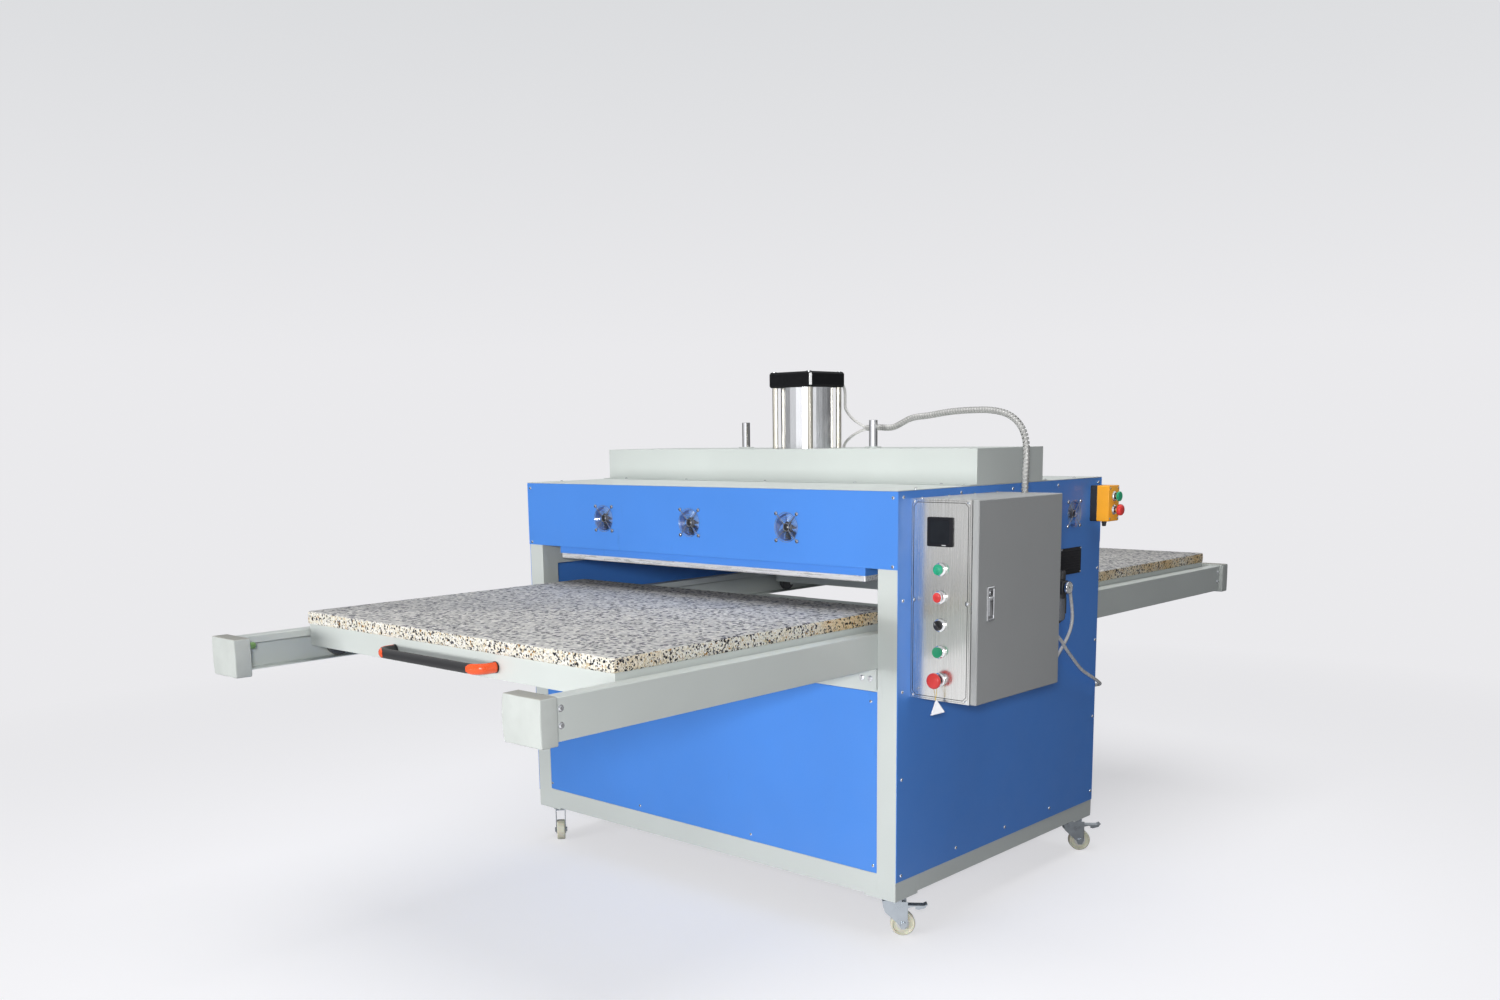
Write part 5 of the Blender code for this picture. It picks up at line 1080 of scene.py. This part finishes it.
def hoses():
    """Two hoses in one spiral wrap from the cylinder to the box, and the supply hose."""
    bundle = through(offsets((0, 0, 0), FROM_CYLINDER) + offsets(BOX_TOP_HOLE, TO_BOX), 8)
    for name, z, points, shift in (("upper_hose", UPPER_Z, UPPER_HOSE, BUNDLE_PITCH),
                                   ("lower_hose", LOWER_Z, LOWER_HOSE, -BUNDLE_PITCH)):
        lead = offsets((PORT_X, PORT_Y, z), ((0, 0, 0), (0, 5, 0), *points))
        run = side_by_side(bundle, shift)
        hose(name, through(lead + run[1::8] + [run[-1]], 8), HOSE_R)

    marks, places, side = [0], [], Z
    for index, point in enumerate(bundle):
        ahead = heading(bundle, index)
        side = (side - ahead * side.dot(ahead)).normalized()
        places.append((point, ahead, side, ahead.cross(side)))
        marks.append(marks[-1] + (bundle[min(index + 1, len(bundle) - 1)] - point).length)
    total = length_of(bundle)
    steps = int(total / WRAP_PITCH * WRAP_STEPS)
    ribbon = [(WRAP_R - 0.9, -0.5), (WRAP_R, -0.5), (WRAP_R, 0.5), (WRAP_R - 0.9, 0.5)]
    shape, rings, at = Shape(), [], 0
    for step in range(steps + 1):
        along = total * step / steps
        while at < len(bundle) - 2 and marks[at + 1] < along:
            at += 1
        point, ahead, side, up = places[at]
        centre = point.lerp(places[at + 1][0], (along - marks[at]) / (marks[at + 1] - marks[at]))
        angle = math.tau * along / WRAP_PITCH
        out = math.cos(angle) * side + math.sin(angle) * up
        rings.append(shape.points([centre + out * radius + ahead * lift * WRAP_RIBBON
                                   for radius, lift in ribbon]))
    shape.skin(rings)
    wrap = shape.finish("hose_wrap", "wrap", "hose", sharp=60)
    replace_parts(wrap, "cylinder_hoses")

    route = offsets(REGULATOR, ((0, 30.3, 0), (0, 35.3, 0), *FROM_REGULATOR)) + offsets(INLET, TO_INLET)
    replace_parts(hose("supply_hose_dressed", through(route), SUPPLY_R), "supply_hose")


# Cylinder and casters
CAP_SCREW_IN = 16
GUIDE_R = 13.5


def cylinder_dressing():
    """Socket screws in the top cap, port fittings, and seals round the guide rods."""
    low, high = extent("cylinder_top_cap")
    half = (high - low) / 2
    shape = Shape()
    for a, b in CORNERS:
        point = Vector((a * (half.x - CAP_SCREW_IN), b * (half.y - CAP_SCREW_IN), high.z))
        shape.on(0).lathe([(7.2, -1), (7.2, 1.2), (6.6, 1.8), (4, 1.8), (3.6, 0.2)], point, Z, 20)
        shape.on(2).ring([(7.4, 0.1), (8.8, 0.1), (8.8, 0.4), (7.4, 0.4)], point, Z, 20)
    shape.on(1)
    for z in (UPPER_Z, LOWER_Z):
        nut = [(8.6, -10.4), (9, -9.8), (9, -5.2), (7, -4.6)]
        shape.lathe(nut, (PORT_X, PORT_Y, z), Y, 6)
        shape.ring([(0, -5), (6.8, -5), (7, -1.8), (6, -0.6), (4.3, -0.2)], (PORT_X, PORT_Y, z), Y, 24)
    shape.finish("cylinder_dressing", "screw brass dark", "steel")

    shape = Shape()
    cover = extent("beam_cover")[1].z
    for node in ("guide_rod_left", "guide_rod_right"):
        middle = sum(extent(node), Vector()) / 2
        shape.ring([(GUIDE_R + 0.6, 0), (GUIDE_R + 7.5, 0), (GUIDE_R + 7.5, 1.5), (GUIDE_R + 4, 3.2),
                    (GUIDE_R + 0.6, 3.4)], (middle.x, middle.y, cover), Z, 32)
    shape.finish("rod_seals", "black_plastic", "black_plastic", sharp=40)


CASTER_X, CASTER_Y, CASTER_BOLT = 672, 476, 24.8
SKIRT = ((62, 1.5), (62, -7), (70, -9), (88, -4.5), (92.5, 3.5), (84, 1))
SKIRT_SIDE, SKIRT_T = 11.2, 1.2


def caster_dressing():
    """Foot-plate bolts, each wheel's hub cap, and the folded sides of the brake pedals."""
    shape = Shape()
    for (a, b), (c, d) in product(CORNERS, CORNERS):
        bolt(shape, (a * CASTER_X + c * CASTER_BOLT, b * CASTER_Y + d * CASTER_BOLT, -0.2), -Z, 5, 4.2)
    shape.finish("caster_bolts", "screw", "zinc", sharp=30)
    for end, side in product(("front", "rear"), ("left", "right")):
        wheel = f"caster_{end}_{side}_wheel"
        axis = rotation(43 if side == "right" else -40, "Z").to_3x3() @ Y
        shape = Shape()
        for way in (-1, 1):
            shape.ring([(4.6, 9.8), (16, 9.8), (17, 10.4), (16.4, 11.6), (10, 12.4), (4.6, 12.6)],
                       sum(extent(wheel), Vector()) / 2, way * axis, 30)
        shape.finish(f"caster_{end}_{side}_hub", "white_plastic", "nylon", wheel, 40)
    for end, way in (("front", -1), ("rear", 1)):
        pin = Vector((CASTER_X, way * CASTER_Y, extent(f"caster_{end}_right_brake_pedal")[0].z + 4))
        turn = Matrix.Translation(pin) @ rotation(43, "Z")
        shape = Shape()
        for side in (-1, 1):
            shape.skin([shape.points([turn @ Vector((x, side * SKIRT_SIDE + out, z)) for x, z in SKIRT])
                        for out in (-SKIRT_T / 2, SKIRT_T / 2)])
        shape.finish(f"caster_{end}_right_skirts", "zinc", "zinc", f"caster_{end}_right_pedal", 40)


# Electrics behind the door
TERMINALS = 20
ROWS = ((700, 30, 35), (770, 70, 65), (875, 80, 55))       # height, size and depth of each row


def electrics_dressing():
    """Rails, terminals, relays and wires on the mounting plate."""
    low, high = extent("electrics")
    face, wide = low.x + 2, high.y - low.y
    shape = Shape()
    for z, tall, deep in ROWS:
        for lift, half, thick in ((0, 17.5, 1.4), (-16, 1.2, 7), (16, 1.2, 7)):
            mid = z + tall / 2 + lift
            shape.block((face, low.y + 4, mid - half), (face + thick, high.y - 4, mid + half), 0.4, 1)
    z, tall, deep = ROWS[0]
    front = low.x + deep
    for index in range(TERMINALS):
        y = low.y + 12 + index * (wide - 24) / TERMINALS
        shape.on(1 if index % 5 else 5).block((front, y, z + 2), (front + 4, y + 8.5, z + tall - 2), 0.8, 1)
        for lift in (8, tall - 8):
            rivet(shape.on(0), (front + 4, y + 4.3, z + lift), X, 2.4, 1)
    paths = random.Random(3)
    for (z, tall, deep), count in ((ROWS[1], 4), (ROWS[2], 2)):
        pitch, front = (wide - 20) / count, low.x + deep
        for y in [low.y + 10 + index * pitch for index in range(count)]:
            shape.on(2).block((front, y + 6, z + tall * 0.28),
                              (front + 3, y + pitch - 16, z + tall * 0.72), 1, 1)
            shape.on(1).block((front + 2.8, y + 12, z + tall * 0.42),
                              (front + 3.6, y + pitch - 24, z + tall * 0.60), 0.3, 1)
            spots = [y + 12 + pole * (pitch - 30) / 2 for pole in range(3)]
            for spot, lift in product(spots, (10, tall - 10)):
                rivet(shape.on(0), (front, spot, z + lift), X, 3.2, 1.4)
            for number, spot in zip((3, 4, 2), spots):
                start = Vector((front + 2, spot, z + 10))
                end = Vector((low.x + 40, low.y + 20 + paths.uniform(0, wide - 50), 728))
                bow = (start + end) / 2 + paths.uniform(16, 26) * X
                route = [start, start + Vector((6, 0, -6)), bow, end + Vector((8, 0, 12)), end]
                shape.on(number).wire(through(route, 5), 1.3, 6)
    shape.finish("electrics_dressing", "zinc white_plastic black_plastic wire_red wire_blue green",
                 "electrics", sharp=40)


# CAD nodes
BEVELS = {"base_frame": 3.5, "platen": 1.0, "rail_left": 2.5, "rail_right": 2.5, "front_tray_frame": 2.5,
          "rear_tray_frame": 2.5, "control_door": 1.2}
PLAIN_BEVEL = 0.8


def dress_nodes():
    """Each CAD node's finish, with its edges eased."""
    for part in frame["record"]["subparts"]:
        node, slot = part["node"], part["material_slot"]
        obj = frame["nodes"][node]
        finish = "tray_paint" if node.endswith("_tray_frame") else "pad_foam" if slot == "pad" else slot
        obj.data.materials.clear()
        obj.data.materials.append(FINISHES[finish])
        obj.modifiers.new("weld", "WELD").merge_threshold = 1e-6
        bevel = obj.modifiers.new("bevel", "BEVEL")
        bevel.width = BEVELS.get(node, PLAIN_BEVEL) * MM
        bevel.segments = 2
        bevel.limit_method = "ANGLE"
        bevel.angle_limit = math.radians(42)
        bevel.harden_normals = True
        bevel.use_clamp_overlap = True


# Light and room
HORIZON, OVERHEAD = (0.825, 0.822, 0.842), (0.650, 0.665, 0.680)
AMBIENT, AMBIENT_TONE = 0.06, (0.90, 0.97, 1.10)
BRIGHT_SIDE = (0.357, -0.932, 0.0)         # where polished metal finds the floor bright
MIRRORED = ((0.0, 0.05), (0.155, 0.09), (0.363, 0.15), (0.57, 0.20), (0.70, 0.34), (0.80, 0.45),
            (0.90, 0.76), (0.97, 1.0))
MIRROR_LEVEL = 1.30
SKY_SHINE = (0.60, 0.61, 0.62)
FLOOR_R, FLOOR_NEAR, FLOOR_FAR, FLOOR_SIDES = 40.0, 1.6, 4.6, 96
FLOOR_CATCH, FLOOR_BOUNCE, FLOOR_GLOW = (0.46, 0.46, 0.47), (0.36, 0.36, 0.37), 0.69


def mirrored_tone(tree, way):
    """What polished metal finds in a level direction."""
    toward = tree.add("VectorMath", {0: way, 1: BRIGHT_SIDE}, operation="DOT_PRODUCT")["Value"]
    stops = [(share, (level, level, level * 1.02)) for share, level in MIRRORED]
    return tree.ramp(tree.curve(toward, -1, 1), stops)


def world():
    """Pale for the camera, with some contrast for glossy rays, and dim and bluish as light."""
    room = bpy.data.worlds.new("room")
    tree = Tree(room)
    tree.nodes.clear()
    way = tree.add("TexCoord")["Generated"]
    height = tree.add("SeparateXYZ", {0: way})["Z"]
    fill = tree.add("Background", {0: AMBIENT_TONE, 1: AMBIENT})[0]
    tone = tree.blend(tree.curve(height, 0.08, 0.24), mirrored_tone(tree, way), SKY_SHINE)
    shine = tree.add("Background", {0: tone, 1: MIRROR_LEVEL})[0]
    pale = tree.ramp(height, [(0, HORIZON), (0.06, HORIZON), (0.42, OVERHEAD)])
    plain = tree.add("Background", {0: pale, 1: 1})[0]
    path = tree.add("LightPath")
    seen = tree.maths("MAXIMUM", path["Is Camera Ray"], path["Is Transmission Ray"])
    lit = tree.mix(path["Is Glossy Ray"], fill, shine)
    tree.add("OutputWorld", {0: tree.mix(seen, lit, plain)})
    bpy.context.scene.world = room


def light(name, kind, place, aim, power, mirrored=False, **settings):
    data = bpy.data.lights.new(name, kind)
    data.energy = power
    for key, value in settings.items():
        setattr(data, key, value)
    lamp = bpy.data.objects.new(name, data)
    turn = (Vector(aim) - Vector(place)).to_track_quat("-Z", "Y").to_matrix().to_4x4()
    lamp.matrix_world = Matrix.Translation(Vector(place) + ORIGIN) @ turn
    lamp.visible_glossy = mirrored
    bpy.context.scene.collection.objects.link(lamp)


def lights():
    """A broad key from the front, a small one from the right that slants the rail's shadow."""
    light("key", "AREA", (-1.2, -6.5, 0.85), (0, 0, 0.7), 214, shape="RECTANGLE", size=3.2, size_y=0.9)
    light("kicker", "AREA", (2.8, -3.5, 1.4), (0, 0, 0.6), 64, True, shape="RECTANGLE", size=0.3, size_y=0.3)
    light("top", "AREA", (0.3, 0, 5.2), (0.1, 0, 0), 180, shape="RECTANGLE", size=4.4, size_y=4.4)
    light("station_lamp", "SPOT", (2.15, -2.9, 1.05), (0.81, 0.45, 0.985), 260,
          spot_size=math.radians(3.2), spot_blend=0.3, shadow_soft_size=0.02)


def floor():
    """A pale floor that shows the machine's shadow and fades into the backdrop."""
    ground = bpy.data.materials.new("floor")
    tree = Tree(ground)
    tree.nodes.clear()
    place = tree.add("NewGeometry")["Position"]
    away = tree.add("VectorMath", {0: place}, operation="LENGTH")["Value"]
    near = tree.curve(away, FLOOR_NEAR, FLOOR_FAR, 1, 0)
    dark, catch, plain = (tree.add("BsdfDiffuse", {0: tone})[0]
                          for tone in ((0, 0, 0), FLOOR_CATCH, FLOOR_BOUNCE))
    glow = tree.add("Emission", {0: HORIZON, 1: tree.curve(near, 0, 1, 1, FLOOR_GLOW)})[0]
    shown = tree.add("AddShader", {0: tree.mix(near, dark, catch), 1: glow})[0]
    way = tree.add("VectorMath", {0: place}, operation="NORMALIZE")["Vector"]
    mirrored = tree.add("Emission", {0: mirrored_tone(tree, way), 1: MIRROR_LEVEL})[0]
    path = tree.add("LightPath")
    lit = tree.mix(tree.maths("SUBTRACT", 1, path["Is Diffuse Ray"]), plain, shown)
    tree.add("OutputMaterial", {0: tree.mix(path["Is Glossy Ray"], lit, mirrored)})
    mesh = bpy.data.meshes.new("floor")
    rim = [(x, y, 0) for x, y in oval(FLOOR_R, FLOOR_R, FLOOR_SIDES)]
    mesh.from_pydata(rim, [], [list(range(FLOOR_SIDES))])
    mesh.materials.append(ground)
    obj = bpy.data.objects.new("floor", mesh)
    bpy.context.scene.collection.objects.link(obj)


# The scene
dress_nodes()
panel_screws()
fan_guards()
for node, axis, _ in FANS:
    fan_rotor(node, axis)
for tray, facing in (("front_tray", -1), ("rear_tray", 1)):
    pad(tray + "_pad", tray)
    handle(tray + "_handle", tray, facing)
for (end_name, end), (side_name, side) in product((("front", -1), ("rear", 1)), (("left", -1), ("right", 1))):
    end_cap(f"rail_cap_{end_name}_{side_name}", side, end)
rail_bolts()
control_plate_dressing()
display()
plate_buttons()
pull_tag()
door_dressing()
blank_plate()
station()
regulator()
hoses()
cylinder_dressing()
caster_dressing()
electrics_dressing()
make_camera()
lights()
world()
floor()

bpy.context.scene.view_settings.view_transform = "Standard"
